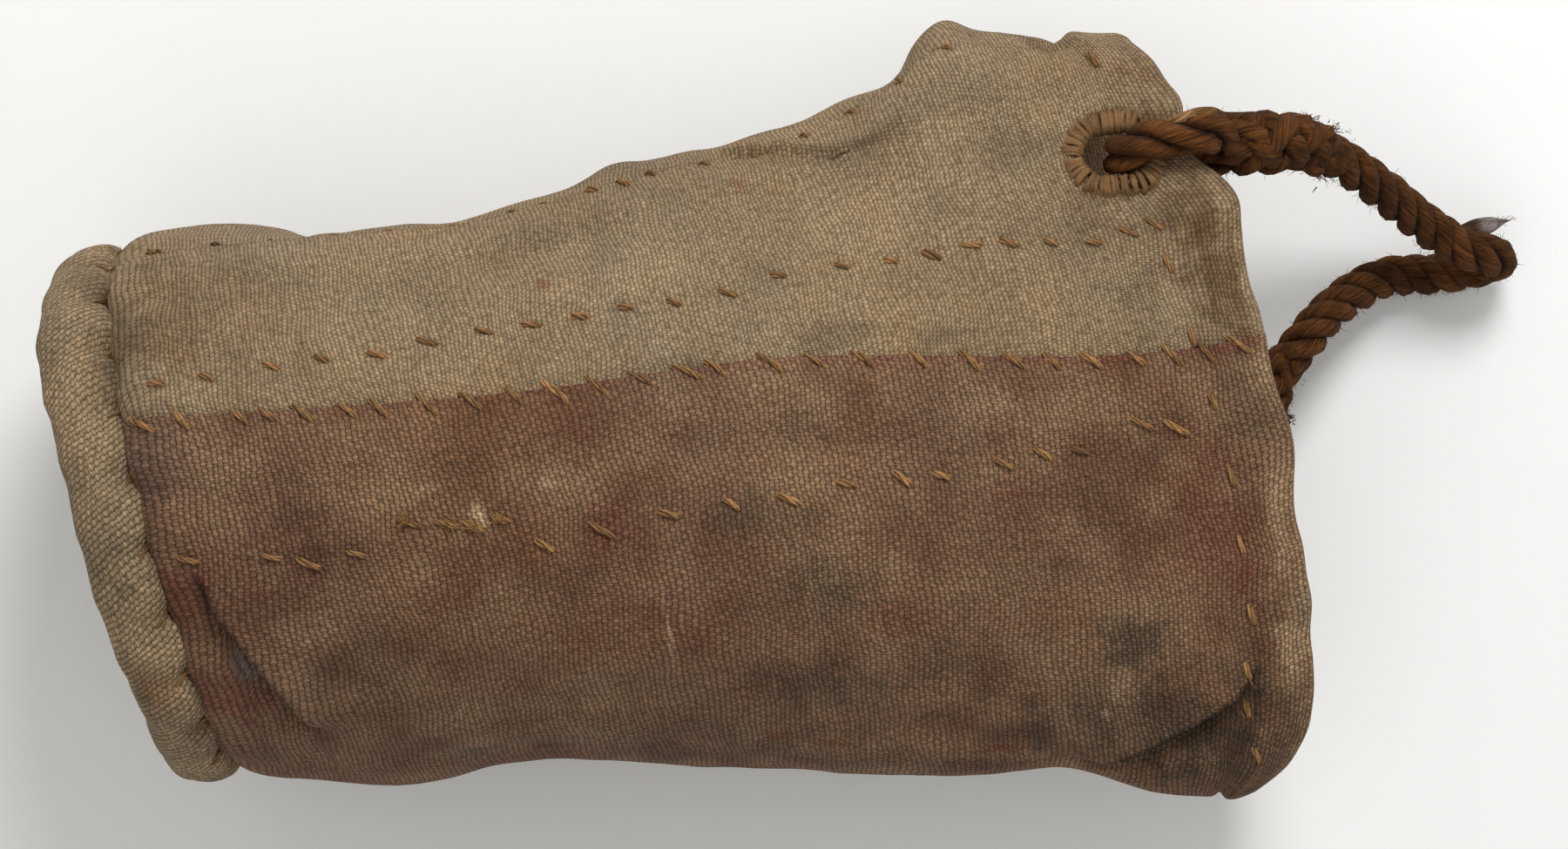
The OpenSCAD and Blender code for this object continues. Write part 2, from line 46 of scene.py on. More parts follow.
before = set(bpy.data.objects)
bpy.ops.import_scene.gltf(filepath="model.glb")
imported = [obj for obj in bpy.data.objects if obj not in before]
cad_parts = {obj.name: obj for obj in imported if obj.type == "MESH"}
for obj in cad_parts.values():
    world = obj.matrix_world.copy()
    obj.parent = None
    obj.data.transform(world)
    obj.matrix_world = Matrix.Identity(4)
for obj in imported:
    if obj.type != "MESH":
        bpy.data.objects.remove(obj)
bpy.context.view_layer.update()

MM = 0.001

# Form of the wall in millimetres, the same as the solids'
BAG_LENGTH = 277.0
TUBE_D = 135.0
MOUTH_W = 190.0
MOUTH_H = 60.0
MOUTH_SHIFT = 31.0
MOUTH_LIFT = 21.0
FOLD_BACK = 10.0
LIP_BACK = 17.0
FLARE_START = 0.28
FLARE_END = 0.94
BASE_D = 132.0
RIM_D = 17.0
GROOVE_DEPTH = 9.0
GROOVE_RUN = 6.0
SEAT_GAP = 0.3
REST_Z = 0.4
HEM_W = 18.0
LAP = 8.5
LAP_RAMP = 7.0
HALF_LEN = BAG_LENGTH / 2
RIM_X = -HALF_LEN + RIM_D / 2
RIM_R = (BASE_D - RIM_D) / 2
TUBE_X = -HALF_LEN + RIM_D + SEAT_GAP
TUBE_LEN = HALF_LEN - TUBE_X
BASE_Y = sum(corner[1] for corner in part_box("base_disc")) / 2 / MM
BASE_Z = BASE_D / 2

# Eyelets and the becket's route, in millimetres
EYELET_W = 11.0
EYELET_STRETCH = 5.0
GROMMET_D = 2.8
RING_R = 2.3
RING_END_R = EYELET_W / 2 + RING_R
FRONT_EYELET = (48.0, 20.0, 0.0)
REAR_EYELET = (253.0, 18.5, -37.0)
MOUTH_PLACE = np.array([HALF_LEN, BASE_Y - MOUTH_SHIFT, 0.0])
BECKET_POINTS = [
    (25, 54, 57), (33, 48, 48), (41, 40.5, 39), (48.5, 32.5, 31.5), (54, 27, 27), (58.5, 23, 25),
    (63.8, 20.3, 23), (67.3, 18.8, 19.4), (68.6, 18, 14.8), (67.3, 17.6, 10.2), (63.6, 17.4, 7),
    (58.5, 17.6, 5.8), (51, 18.5, 6.2), (42, 20, 9), (33, 18.5, 14), (24, 15, 20), (16, 9.8, 24),
    (9, 4.5, 24),
]
STRAND_POINTS = [(58, 26.9, 18.2), (63, 27.1, 19.1), (68.5, 27, 19.3), (73.5, 27, 18.2)]
SPLICE_W = 15.0
THROAT_RUN = 10.5
THROAT_N = -2.0
STRAND_SHARE = 0.475
EYELET_TURNS = 66
EYELET_FUZZ = 380
RIM_STITCHES = 24
HEM_STITCHES = 34
CLOTH_FLOOR = 0.25

# Place of the camera in metres
CAMERA_PLACE = (0.02255, 0.0134, 1.06)


def srgb(red, green, blue):
    """Scene-linear colour of a display colour given from 0 to 255."""
    value = np.array([red, green, blue], float) / 255
    return np.where(value <= 0.04045, value / 12.92, ((value + 0.055) / 1.055) ** 2.4)


def length_value(name, description, default, low, high, precision=4):
    """A length in metres with its limits."""
    return bpy.props.FloatProperty(
        name=name, description=description, default=default, min=low, max=high, unit="LENGTH",
        precision=precision)


def colour_value(name, description, default):
    return bpy.props.FloatVectorProperty(
        name=name, description=description, subtype="COLOR", size=3, default=default, min=0, max=1)


class BagCloth(bpy.types.PropertyGroup):
    """Sizes and colours of the canvas."""

    thickness: length_value("Thickness", "Thickness of one layer of canvas", 0.0014, 0.0006, 0.002)
    warp_pitch: length_value("Warp pitch", "Spacing of the threads along the bag", 0.00104, 0.0003, 0.003, 5)
    weft_pitch: length_value("Weft pitch", "Spacing of the threads round the bag", 0.00056, 0.0003, 0.003, 5)
    coarse_warp: length_value(
        "Coarse warp pitch", "Spacing along the bag of the stained canvas's threads", 0.00124, 0.0003,
        0.003, 5)
    coarse_weft: length_value(
        "Coarse weft pitch", "Spacing round the bag of the stained canvas's threads", 0.0008, 0.0003,
        0.003, 5)
    tan: colour_value("Tan canvas", "Colour of the bleached canvas", srgb(136, 115, 88))
    stained: colour_value("Stained canvas", "Colour of the red-brown canvas", srgb(97, 66, 48))
    lining: colour_value("Lining canvas", "Colour of the hem and the strip inside", srgb(140, 118, 88))


class BagTwine(bpy.types.PropertyGroup):
    """Sizes and colours of the sewing twine."""

    thickness: length_value("Thickness", "Thickness of the sewing twine", 0.0015, 0.0008, 0.003)
    colour: colour_value("Twine", "Colour of the sewing twine", srgb(146, 108, 68))
    eyelet: colour_value("Eyelet twine", "Colour of the twine worked round the eyelets", srgb(132, 100, 66))


class BagRope(bpy.types.PropertyGroup):
    """Sizes and colours of the becket's rope."""

    diameter: length_value("Diameter", "Diameter of the becket's rope", 0.0105, 0.008, 0.02)
    eye_diameter: length_value(
        "Eye diameter", "Diameter of the rope drawn tight in an eye", 0.010, 0.006, 0.014)
    lay: length_value("Lay", "Length of one full turn of a strand", 0.019, 0.012, 0.06)
    fibres: bpy.props.IntProperty(
        name="Fibres", description="Number of loose fibres on the becket", default=1700, min=0, max=4000)
    colour: colour_value("Rope", "Colour of the tarred hemp", srgb(92, 55, 24))


class BagStage(bpy.types.PropertyGroup):
    """Floor, light and camera."""

    floor: colour_value("Floor", "Colour of the floor", (0.94, 0.94, 0.93))
    key: bpy.props.FloatProperty(
        name="Key light", description="Power of the large soft light", default=10.0, min=0, max=200,
        unit="POWER")
    sky: bpy.props.FloatProperty(
        name="Sky", description="Strength of the even light all round", default=0.5, min=0, max=5)
    turn: bpy.props.FloatProperty(
        name="Camera turn", description="Turn of the picture about the line of sight",
        default=math.radians(-13), subtype="ANGLE")
    lens: bpy.props.FloatProperty(
        name="Lens", description="Focal length of the camera in millimetres", default=95.24, min=20, max=300)


# Small helpers for shapes


def ease(s):
    c = np.clip(s, 0, 1)
    return c * c * (3 - 2 * c)


def bell(s):
    return np.exp(-s * s)


def bell_t(t, width):
    return np.exp(-(1 - np.cos(np.radians(t))) / (1 - math.cos(math.radians(width))))


def unit(p):
    return p / np.maximum(np.linalg.norm(p, axis=-1, keepdims=True), 1e-9)


def wrap(t):
    return (t + 180) % 360 - 180


def run_of(path):
    """Distance along a path at each of its points."""
    return np.concatenate([[0], np.cumsum(np.linalg.norm(np.diff(path, axis=0), axis=1))])


def girth_of(points):
    """Distance along each row of a grid of points, from the grid's first column."""
    steps = np.linalg.norm(np.diff(points, axis=1), axis=-1)
    return np.concatenate([np.zeros((len(points), 1)), np.cumsum(steps, 1)], 1)


def lattice(i, j, k, seed):
    """Fixed value from -1 to 1 for each corner of a lattice."""
    n = (i * 374761393 + j * 668265263 + k * 1442695041 + seed * 974634777) & 0x7FFFFFFF
    n = ((n ^ (n >> 13)) * 1274126177) & 0x7FFFFFFF
    n = ((n ^ (n >> 15)) * 747796405) & 0x7FFFFFFF
    return ((n ^ (n >> 16)) & 0xFFFF) / 32767.5 - 1


def cloud(p, size, seed):
    """Smooth noise from -1 to 1 over points in millimetres, with lumps of the given size."""
    q = np.asarray(p, float) / size
    cell = np.floor(q).astype(np.int64)
    w = q - cell
    w = w * w * (3 - 2 * w)
    total = 0.0
    for a in (0, 1):
        for b in (0, 1):
            for c in (0, 1):
                share = (
                    (w[..., 0] if a else 1 - w[..., 0])
                    * (w[..., 1] if b else 1 - w[..., 1])
                    * (w[..., 2] if c else 1 - w[..., 2])
                )
                total = total + share * lattice(cell[..., 0] + a, cell[..., 1] + b, cell[..., 2] + c, seed)
    return total


# The wall of the bag


# Swells and dents of the wall, the same as the solids': height, place v, half-length, angle t, half-width
WALL_SWELLS = [
    (8, 0.79, 0.08, 5, 35), (-4, 0.36, 0.16, 0, 40), (-4, 0.66, 0.06, 0, 35), (5, 0.42, 0.14, 180, 40),
    (-6, 0.77, 0.07, 180, 35), (-5, 0.66, 0.09, 48, 20),
]


def swell(v, t, height, place, half, angle, width):
    return height * bell((v - place) / half) * bell_t(t - angle, width)


def drape(v, t):
    """Swells and dents of the canvas, each at one place of the wall."""
    return sum(swell(v, t, *values) for values in WALL_SWELLS)


def edge_x(t):
    c, s = np.cos(np.radians(t)), np.sin(np.radians(t))
    return HALF_LEN - FOLD_BACK * c * c - np.where(s < 0, LIP_BACK * s * s, 0)


def wall(v, t, h):
    """Points at share v of the length, angle t and height h off the cloth's outer face."""
    v, t = np.broadcast_arrays(np.asarray(v, float), np.asarray(t, float))
    flare = ease((v - FLARE_START) / (FLARE_END - FLARE_START))
    groove = GROOVE_DEPTH * np.exp(-v * TUBE_LEN / GROOVE_RUN)
    half_w = (TUBE_D + (MOUTH_W - TUBE_D) * flare) / 2 - groove
    half_h = (TUBE_D + (MOUTH_H - TUBE_D) * flare) / 2 - groove
    mid_y = BASE_Y - MOUTH_SHIFT * np.minimum(v / FLARE_END, 1)
    lift = MOUTH_LIFT * ease((v - 0.45) / (FLARE_END - 0.45))
    mid_z = lift + half_h + groove - (TUBE_D - BASE_D) / 2
    c, s = np.cos(np.radians(t)), np.sin(np.radians(t))
    g = h + drape(v, t)
    return np.stack(
        [
            TUBE_X + (edge_x(t) - TUBE_X) * v,
            mid_y + (half_w + g) * c,
            np.maximum(mid_z + (half_h + g) * s, REST_Z - h),
        ],
        -1,
    )


def back_v(t, back):
    """Share of the length that lies a distance back from the mouth's edge."""
    return 1 - back / (edge_x(t) - TUBE_X)


def mm_per_degree(v, t):
    return float(np.linalg.norm(wall(v, t + 1, 0) - wall(v, t - 1, 0)) / 2)


def main_seam(v):
    return 74.3 + 7.7 * ease((v - 0.48) / 0.42) - 3.2 * np.exp(-np.asarray(v) / 0.09)


def side_seam(v):
    return 30.0 - 10 * np.asarray(v)


def under_seam(v):
    return 215.0 - 3 * np.asarray(v)


# Stitches: share of the length and angle of each, as (v, t) pairs. MAIN_ROW has shares alone, because its
# stitches follow the seam. These places, the folds and most stains were picked by eye in the photograph, and
# a separate program turned them into shares and angles.
UPPER_ROW = [
    (0.035, 65), (0.077, 65), (0.133, 64), (0.177, 63), (0.225, 63), (0.27, 61), (0.32, 60), (0.362, 60),
    (0.405, 60), (0.445, 60), (0.487, 61), (0.535, 61), (0.583, 59), (0.642, 59), (0.688, 60), (0.725, 61),
    (0.763, 61), (0.797, 62), (0.835, 63), (0.873, 64), (0.907, 63), (0.932, 62),
]
LOWER_ROW = [
    (0.03, 100), (0.098, 101), (0.128, 103), (0.17, 102), (0.22, 97), (0.252, 98), (0.275, 99), (0.297, 98),
    (0.33, 104), (0.38, 102), (0.438, 100), (0.492, 99), (0.542, 99), (0.595, 97), (0.645, 97), (0.68, 97),
    (0.738, 96), (0.775, 95), (0.81, 95), (0.87, 92), (0.9, 93),
]
MAIN_ROW = [
    0.02, 0.05, 0.098, 0.122, 0.152, 0.19, 0.217, 0.258, 0.295, 0.333, 0.367, 0.403, 0.44, 0.48, 0.505, 0.552,
    0.59, 0.633, 0.682, 0.728, 0.768, 0.802, 0.838, 0.878, 0.912, 0.943, 0.973,
]
SIDE_ROW = [
    (0.04, 25), (0.098, 25), (0.15, 26), (0.205, 25), (0.258, 25), (0.315, 24), (0.37, 23), (0.4, 24),
    (0.443, 26), (0.475, 27), (0.5, 25), (0.55, 24), (0.6, 23), (0.65, 23), (0.7, 22), (0.75, 22), (0.8, 21),
]


def stitch_rows(rng):
    """Every row of stitches on the wall: name, node, length, lean and the places of its stitches."""
    whip = [(v, float(main_seam(v)) + 0.6) for v in MAIN_ROW]
    rows = [
        ("main_whip_stitches", "main_seam_stitches", 6.6, 54, whip),
        ("upper_row_twine", "upper_row_stitches", 4.2, 28, UPPER_ROW),
        ("lower_row_twine", "lower_row_stitches", 5.4, 32, LOWER_ROW),
        ("side_seam_twine", "side_seam_stitches", 4.5, 45, SIDE_ROW),
    ]
    under = [(v, float(under_seam(v)) + 3) for v in np.linspace(0.07, 0.86, 18)]
    rows.append(("under_seam_twine", "under_seam_stitches", 7.5, 45, under))
    front, rear = eyelet_frame(*FRONT_EYELET)[3], eyelet_frame(*REAR_EYELET)[3]
    hem = []
    for k in range(HEM_STITCHES):
        t = 360 * (k + 0.5) / HEM_STITCHES + rng.uniform(-1.2, 1.2)
        v = float(back_v(t, HEM_W - 2 + rng.uniform(-1.2, 1.2)))
        middle = wall(v, t, 0)
        clear = min(np.linalg.norm(middle - front), np.linalg.norm(middle - rear))
        if abs(math.cos(math.radians(t))) < 0.92 and clear > 18:
            hem.append((v, t))
    rows.append(("hem_twine", "hem_stitches", 4.4, 75, hem))
    return rows


# Folds of the cloth: points of the line (v, t), which side the lip lies on, height of the lip, depth of the
# recess, overhang of the lip, and the run of the lip, of the recess and of the painted shade under the lip
TUCKS = [
    ([(0.030, 102), (0.044, 108), (0.059, 116), (0.075, 125), (0.091, 134), (0.100, 144)],
     1, 2.4, 8.0, 4.6, 10, 5.5, 1.4),
    ([(0.955, 131), (0.928, 135), (0.897, 139), (0.86, 144), (0.82, 151), (0.775, 162)],
     -1, 1.8, 7.5, 3.6, 12, 9, 2.6),
    ([(0.56, 12), (0.593, 19), (0.63, 25.5), (0.672, 32), (0.718, 34), (0.755, 32)],
     1, 0.7, 3.0, 0.4, 10, 13, 2),
]

# Soft valleys and ridges: points of the line (v, t), height, width
CREASES = [
    ([(0.905, -4), (0.91, 10), (0.925, 22)], -4.0, 5.0),
    ([(0.95, -2), (0.955, 10), (0.96, 24)], 1.6, 6.0),
    ([(0.88, 34), (0.82, 30), (0.77, 20)], 1.4, 7.0),
    ([(0.86, 46), (0.80, 42), (0.74, 44)], -1.2, 8.0),
    ([(0.3, 40), (0.42, 44), (0.5, 40)], -0.8, 7.0),
    ([(0.1, 45), (0.2, 52), (0.3, 50)], -0.7, 8.0),
    ([(0.2, 130), (0.35, 140), (0.5, 138)], -0.8, 9.0),
    ([(0.55, 146), (0.68, 150), (0.76, 158)], -1.2, 6.0),
    ([(0.12, 150), (0.22, 160), (0.35, 163)], -1.4, 7.0),
    ([(0.985, 100), (0.97, 118), (0.968, 132)], 0.8, 4.0),
    ([(0.94, 68), (0.9, 74), (0.86, 76)], -0.9, 5.0),
]


# More swells and dents, along the edges that show at the bottom and the top, with the same five values
EDGE_SWELLS = [
    (4.5, 0.15, 0.08, 180, 35), (-2, 0.46, 0.1, 180, 35),
    (-4.4, 0.205, 0.07, 2, 22), (-1.4, 0.172, 0.012, 2, 22), (-2.8, 0.315, 0.04, 2, 22),
    (2.6, 0.467, 0.03, 2, 22), (-2.2, 0.575, 0.035, 2, 22), (-6.6, 0.742, 0.038, 2, 22),
    (2.0, 0.815, 0.02, 2, 22),
]


def along_line(v, t, line):
    """Signed distance from a line on the wall, share along it, and direction across it as (along, round)."""
    mid = line[len(line) // 2]
    scale = mm_per_degree(*mid)
    a = v * TUBE_LEN
    c = (mid[1] + wrap(t - mid[1])) * scale
    p = np.array([(q[0] * TUBE_LEN, q[1] * scale) for q in line])
    run = run_of(p)
    best = np.full(v.shape, 1e9)
    share = np.zeros(v.shape)
    side = np.zeros(v.shape)
    across = np.zeros(v.shape + (2,))
    for k in range(len(p) - 1):
        d = (p[k + 1] - p[k]) / (run[k + 1] - run[k])
        ra, rc = a - p[k][0], c - p[k][1]
        s = np.clip(ra * d[0] + rc * d[1], 0, run[k + 1] - run[k])
        fa, fc = ra - s * d[0], rc - s * d[1]
        gap = np.hypot(fa, fc)
        near = gap < best
        best = np.where(near, gap, best)
        share = np.where(near, (run[k] + s) / run[-1], share)
        turn = np.sign(ra * d[1] - rc * d[0])
        side = np.where(near, turn, side)
        across = np.where(near[..., None], np.array([d[1], -d[0]]), across)
    return best * side, share, across


class Drape:
    """The cloth as it lies: the plain wall with its folds, puckers and slack."""

    def __init__(self, rows):
        self.places = [place for row in rows for place in row[4]]

    def skin(self, v, t, lift):
        """Points, outward directions and directions along the bag on a grid of v and t."""
        points = wall(v, t, lift)
        along = unit(np.gradient(points, axis=0))
        around = unit(np.gradient(points, axis=1))
        out = unit(np.cross(around, along))
        calm = ease(v / 0.05) * (0.35 + 0.65 * ease((1.0 - v) / 0.06))
        plain = wall(v, t, 0)
        push = calm * (
            1.15 * cloud(plain, 46, 11) + 0.6 * cloud(plain, 19, 12) + 0.26 * cloud(plain, 8, 13)
        ) + 0.08 * cloud(plain, 3.2, 14)
        back = (1 - v) * (edge_x(t) - TUBE_X)
        push = push - 1.2 * bell((back - HEM_W + 2) / 3.2) + 0.9 * bell((back - 7) / 6)
        for values in EDGE_SWELLS:
            push = push + swell(v, t, *values)
        run = v * TUBE_LEN
        shoulder = GROOVE_DEPTH * np.exp(-run / GROOVE_RUN) - 8.6 * np.exp(-run / 2.3)
        tight = 1 - 0.85 * bell_t(t - 184, 14)
        pleats = np.sin(np.radians(t * 24 + 40 * cloud(plain, 30, 15)))
        push = push + shoulder * tight + 0.5 * pleats * np.exp(-run / 9)
        for place_v, place_t in self.places:
            scale = mm_per_degree(place_v, place_t)
            da = (v - place_v) * TUBE_LEN
            dc = wrap(t - place_t) * scale
            off = da * da + dc * dc
            push = push - 0.55 * np.exp(-off / 9.0) + 0.18 * np.exp(-off / 60.0)
        edge = ease((v - 0.87) / 0.13)
        pull = 1.5 * cloud(plain, 17, 16) + 0.8 * cloud(plain, 7, 17) - 5 * bell(wrap(t - 50) / 5.5)
        pull = pull + 2.5 * bell(wrap(t - 61) / 7) - 9 * bell_t(t - 7, 20) - 14 * bell_t(t - 178, 19)
        push = push - 2.5 * edge * bell_t(t - 2, 18)
        shift = along * (edge * pull - 3.4 * tight * bell(run / 5))[..., None]
        for line, height, width in CREASES:
            gap, share, _ = along_line(v, t, line)
            push = push + height * bell(gap / width) * ease(share / 0.25) * ease((1 - share) / 0.25)
        for line, lip_side, lip, recess, overhang, lip_run, recess_run, _ in TUCKS:
            gap, share, across = along_line(v, t, line)
            gap = gap * lip_side
            fade = ease(share / 0.22) * ease((1 - share) / 0.16)
            fade = np.where(np.abs(gap) < 60, fade, 0)
            on_lip = ease((gap + 0.9) / 1.8)
            push = push + fade * on_lip * lip * np.exp(-np.maximum(gap, 0) / lip_run)
            push = push - fade * (1 - on_lip) * recess * np.exp(np.minimum(gap, 0) / recess_run)
            pull = fade * on_lip * overhang * np.exp(-np.maximum(gap, 0) / (0.6 * lip_run)) * -lip_side
            shift = shift + pull[..., None] * (across[..., :1] * along + across[..., 1:] * around)
        points = points + out * push[..., None] + shift
        points[..., 2] = np.maximum(points[..., 2], CLOTH_FLOOR)
        return points, out, along


# Stains of the canvas, with some patches of painted shade among them: (v, t), half-length along and round the
# bag in millimetres, shade and strength
SHADES = {
    "soot_and_shade": srgb(54, 43, 33),
    "madder": srgb(98, 50, 40),
    "plum": srgb(98, 70, 66),
    "slate": srgb(112, 104, 98),
    "bleach": srgb(196, 168, 130),
    "chalk": srgb(214, 208, 196),
    "rust": srgb(112, 64, 30),
    "ash": srgb(104, 91, 72),
    "umber_and_shade": srgb(92, 68, 45),
}
BARE_THREAD = srgb(204, 174, 134)
PALE_EYE = srgb(176, 134, 88)
NOSE_ROOT = srgb(92, 64, 48)
NOSE_TIP = srgb(190, 178, 172)
NOSE_FRAY = srgb(150, 130, 112)
STAINS = [
    (0.56, 87, 7, 9, "soot_and_shade", 0.55), (0.57, 116, 13, 9, "soot_and_shade", 0.75), (0.63, 120, 9, 9, "madder", 0.5),
    (0.54, 135, 20, 10, "soot_and_shade", 0.7), (0.83, 126, 10, 9, "soot_and_shade", 0.8), (0.51, 101, 14, 6, "soot_and_shade", 0.5),
    (0.13, 93, 12, 9, "soot_and_shade", 0.5), (0.12, 102, 13, 4, "soot_and_shade", 0.35), (0.73, 102, 14, 9, "madder", 0.4),
    (0.94, 104, 12, 17, "madder", 0.45), (0.89, 114, 20, 9, "madder", 0.45),
    (0.39, 101, 9, 7, "madder", 0.35),
    (0.01, 110, 9, 8, "madder", 0.7), (0.03, 133, 12, 13, "madder", 0.8), (0.03, 77, 10, 13, "plum", 0.5),
    (0.21, 90, 18, 13, "bleach", 0.08), (0.36, 90, 15, 9, "bleach", 0.12), (0.76, 89, 27, 9, "bleach", 0.1),
    (0.29, 121, 25, 15, "bleach", 0.05), (0.34, 92, 2, 3, "chalk", 0.5), (0.24, 91, 5, 1.5, "chalk", 0.4),
    (0.28, 98, 2, 3, "chalk", 0.7), (0.80, 141, 1.2, 1.2, "chalk", 0.8), (0.81, 136, 1.5, 4, "chalk", 0.3),
    (0.95, 64, 1.5, 3, "chalk", 0.5), (0.98, 109, 3, 16, "bleach", 0.25), (0.975, 128, 6, 15, "bleach", 0.4),
    (0.99, 124, 5, 7, "soot_and_shade", 0.8), (0.50, 153, 5, 2, "rust", 0.8), (0.55, 154, 4, 2, "rust", 0.7),
    (0.71, 155, 6, 2, "madder", 0.9), (0.21, 158, 19, 5, "ash", 0.5), (0.16, 103, 8, 6, "soot_and_shade", 0.3),
    (0.58, 35, 3, 3, "rust", 0.5), (0.38, 51, 2, 2, "rust", 0.8), (0.39, 38, 15, 6, "ash", 0.45),
    (0.62, 72, 14, 4, "soot_and_shade", 0.35), (0.72, 75, 10, 3, "soot_and_shade", 0.4), (0.46, 73, 13, 3, "soot_and_shade", 0.3),
    (0.44, 53, 19, 10, "bleach", 0.2), (0.81, 70, 5, 15, "bleach", 0.16), (0.82, 46, 13, 9, "ash", 0.5),
    (0.04, 57, 10, 8, "rust", 0.2), (0.11, 28, 19, 5, "ash", 0.4), (0.99, 29, 8, 8, "rust", 0.25),
    (0.26, 47, 17, 8, "ash", 0.3), (0.69, 50, 15, 10, "bleach", 0.15), (0.90, 72, 8, 13, "ash", 0.35),
    (0.97, 70, 6, 19, "rust", 0.2), (0.42, 119, 13, 10, "madder", 0.3), (0.28, 107, 13, 8, "madder", 0.25),
    (0.79, 108, 8, 8, "bleach", 0.08), (0.67, 107, 13, 10, "madder", 0.25), (0.97, 93, 6, 13, "soot_and_shade", 0.35),
    (0.36, 137, 23, 8, "ash", 0.3), (0.16, 126, 19, 13, "soot_and_shade", 0.2), (0.69, 130, 19, 8, "soot_and_shade", 0.35),
    (0.86, 137, 13, 6, "soot_and_shade", 0.3), (0.76, 120, 13, 8, "rust", 0.2), (0.052, 124, 4, 9, "slate", 0.75),
    # The umber patches along the hem and near the base are partly brown stain and partly painted shade where
    # the cloth turns from the light. The broad soot patches low on the stained panel, round angles 146 to
    # 163, are painted shade on the lower side.
    (0.10, 116, 4, 6, "bleach", 0.1), (0.975, 58, 9, 30, "umber_and_shade", 0.75), (0.905, 13, 4, 7, "soot_and_shade", 0.6),
    (0.07, 52, 26, 22, "umber_and_shade", 0.45),
    (0.93, 56, 22, 26, "umber_and_shade", 0.3), (0.84, 146, 44, 18, "soot_and_shade", 0.65), (0.97, 68, 10, 24, "umber_and_shade", 0.65),
    (0.40, 128, 44, 16, "madder", 0.22), (0.36, 152, 60, 13, "soot_and_shade", 0.3),
    (0.42, 124, 0.8, 14, "bleach", 0.25), (0.02, 60, 6, 30, "soot_and_shade", 0.3), (0.5, 163, 70, 9, "soot_and_shade", 0.4),
    (0.12, 96, 26, 16, "madder", 0.3), (0.92, 158, 26, 16, "soot_and_shade", 0.8),
]


def mottle(plain, colour):
    """Uneven colour of old canvas over points in millimetres."""
    shade = 1 + 0.07 * cloud(plain, 40, 21) + 0.06 * cloud(plain, 15, 22) + 0.06 * cloud(plain, 6, 23)
    warmth = 0.05 * cloud(plain, 28, 24) + 0.04 * cloud(plain, 9, 25)
    tint = np.stack([1 + warmth, np.ones_like(warmth), 1 - 1.4 * warmth], -1)
    return colour * shade[..., None] * tint


def dyed(v, t, colour):
    """Colour of the canvas and wear of its threads at each point, with the stains on it, painted shade along
    the folds and a darker half where the wall faces down.
    """
    plain = wall(v, t, 0)
    result = mottle(plain, np.array(colour))
    ragged = 0.34 * cloud(plain, 11, 31) + 0.30 * cloud(plain, 5, 32) + 0.26 * cloud(plain, 2.4, 33)
    ragged = ragged + 0.3 * cloud(plain * (1, 0.2, 0.2), 2.2, 37) + 0.2 * cloud(plain * (0.2, 1, 1), 2.2, 38)
    worn = 0.12 + 0.07 * cloud(plain, 26, 39) + 0.10 * cloud(plain, 8, 40)
    worn = np.maximum(worn, 0.02)
    for stain_v, stain_t, run, girth, shade, strength in STAINS:
        da = (v - stain_v) * TUBE_LEN / run
        dc = wrap(t - stain_t) * mm_per_degree(stain_v, stain_t) / girth
        amount = strength * ease((1.15 - np.hypot(da, dc) + ragged) / 1.0)
        if shade in ("bleach", "chalk"):
            worn = worn + (1 - worn) * amount
        else:
            result = result + (SHADES[shade] - result) * amount[..., None]
            worn = worn * (1 - 0.6 * amount)
    # Painted shade along each fold: the colour and the thread wear are darkened in the recess and under the
    # lip.
    for line, lip_side, _, _, overhang, _, _, painted_shade_run in TUCKS:
        gap, share, _ = along_line(v, t, line)
        gap = gap * lip_side
        fade = np.clip(overhang / 3, 0, 1) * ease(share / 0.12) * ease((1 - share) / 0.1) * (np.abs(gap) < 60)
        painted_lip_shade = 0.42 * np.exp(-np.abs(gap - 0.5) / 4) + 0.5 * np.exp(-np.abs(gap) / painted_shade_run)
        depth = fade * painted_lip_shade * (gap < 1.2)
        result = result * (1 - depth)[..., None]
        worn = worn * (1 - depth)
    # Darker towards the half of the wall that faces down, mixed towards the dark soot colour by a share that
    # varies with noise.
    facing_down = ease((-np.sin(np.radians(t)) + 0.2) / 0.5)
    darkening = facing_down * (0.35 + 0.3 * cloud(plain, 34, 34))
    result = result + (SHADES["soot_and_shade"] - result) * np.clip(darkening, 0, 0.7)[..., None]
    return result, np.clip(worn, 0, 1)


# Small helpers for objects


def activate(obj):
    bpy.ops.object.select_all(action="DESELECT")
    obj.select_set(True)
    bpy.context.view_layer.objects.active = obj


def points_of(mesh):
    """Points of a mesh in millimetres, one row for each."""
    co = np.empty(len(mesh.vertices) * 3, np.float32)
    mesh.vertices.foreach_get("co", co)
    return co.reshape(-1, 3) / MM


def finish_piece(obj, material, body, slot, *nodes):
    """Smooth faces, a material, a body to ride on, and the nodes that the piece stands for. The slot is not
    used.
    """
    activate(obj)
    bpy.ops.object.shade_smooth()
    obj.data.materials.clear()
    obj.data.materials.append(material)
    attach(obj, body)
    if nodes:
        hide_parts(*nodes)
    return obj


def paint(mesh, name, values):
    """Colour attribute at the points of a mesh."""
    layer = mesh.color_attributes.new(name, "FLOAT_COLOR", "POINT")
    rgba = np.ones((len(mesh.vertices), 4), np.float32)
    rgba[:, :3] = np.clip(np.asarray(values).reshape(-1, 3), 0, 1)
    layer.data.foreach_set("color", rgba.ravel())


def wear(mesh, values):
    """Wear of the threads at the points of a mesh, from none at 0 to bare at 1."""
    layer = mesh.attributes.new("worn", "FLOAT", "POINT")
    layer.data.foreach_set("value", np.asarray(values, np.float32).ravel())


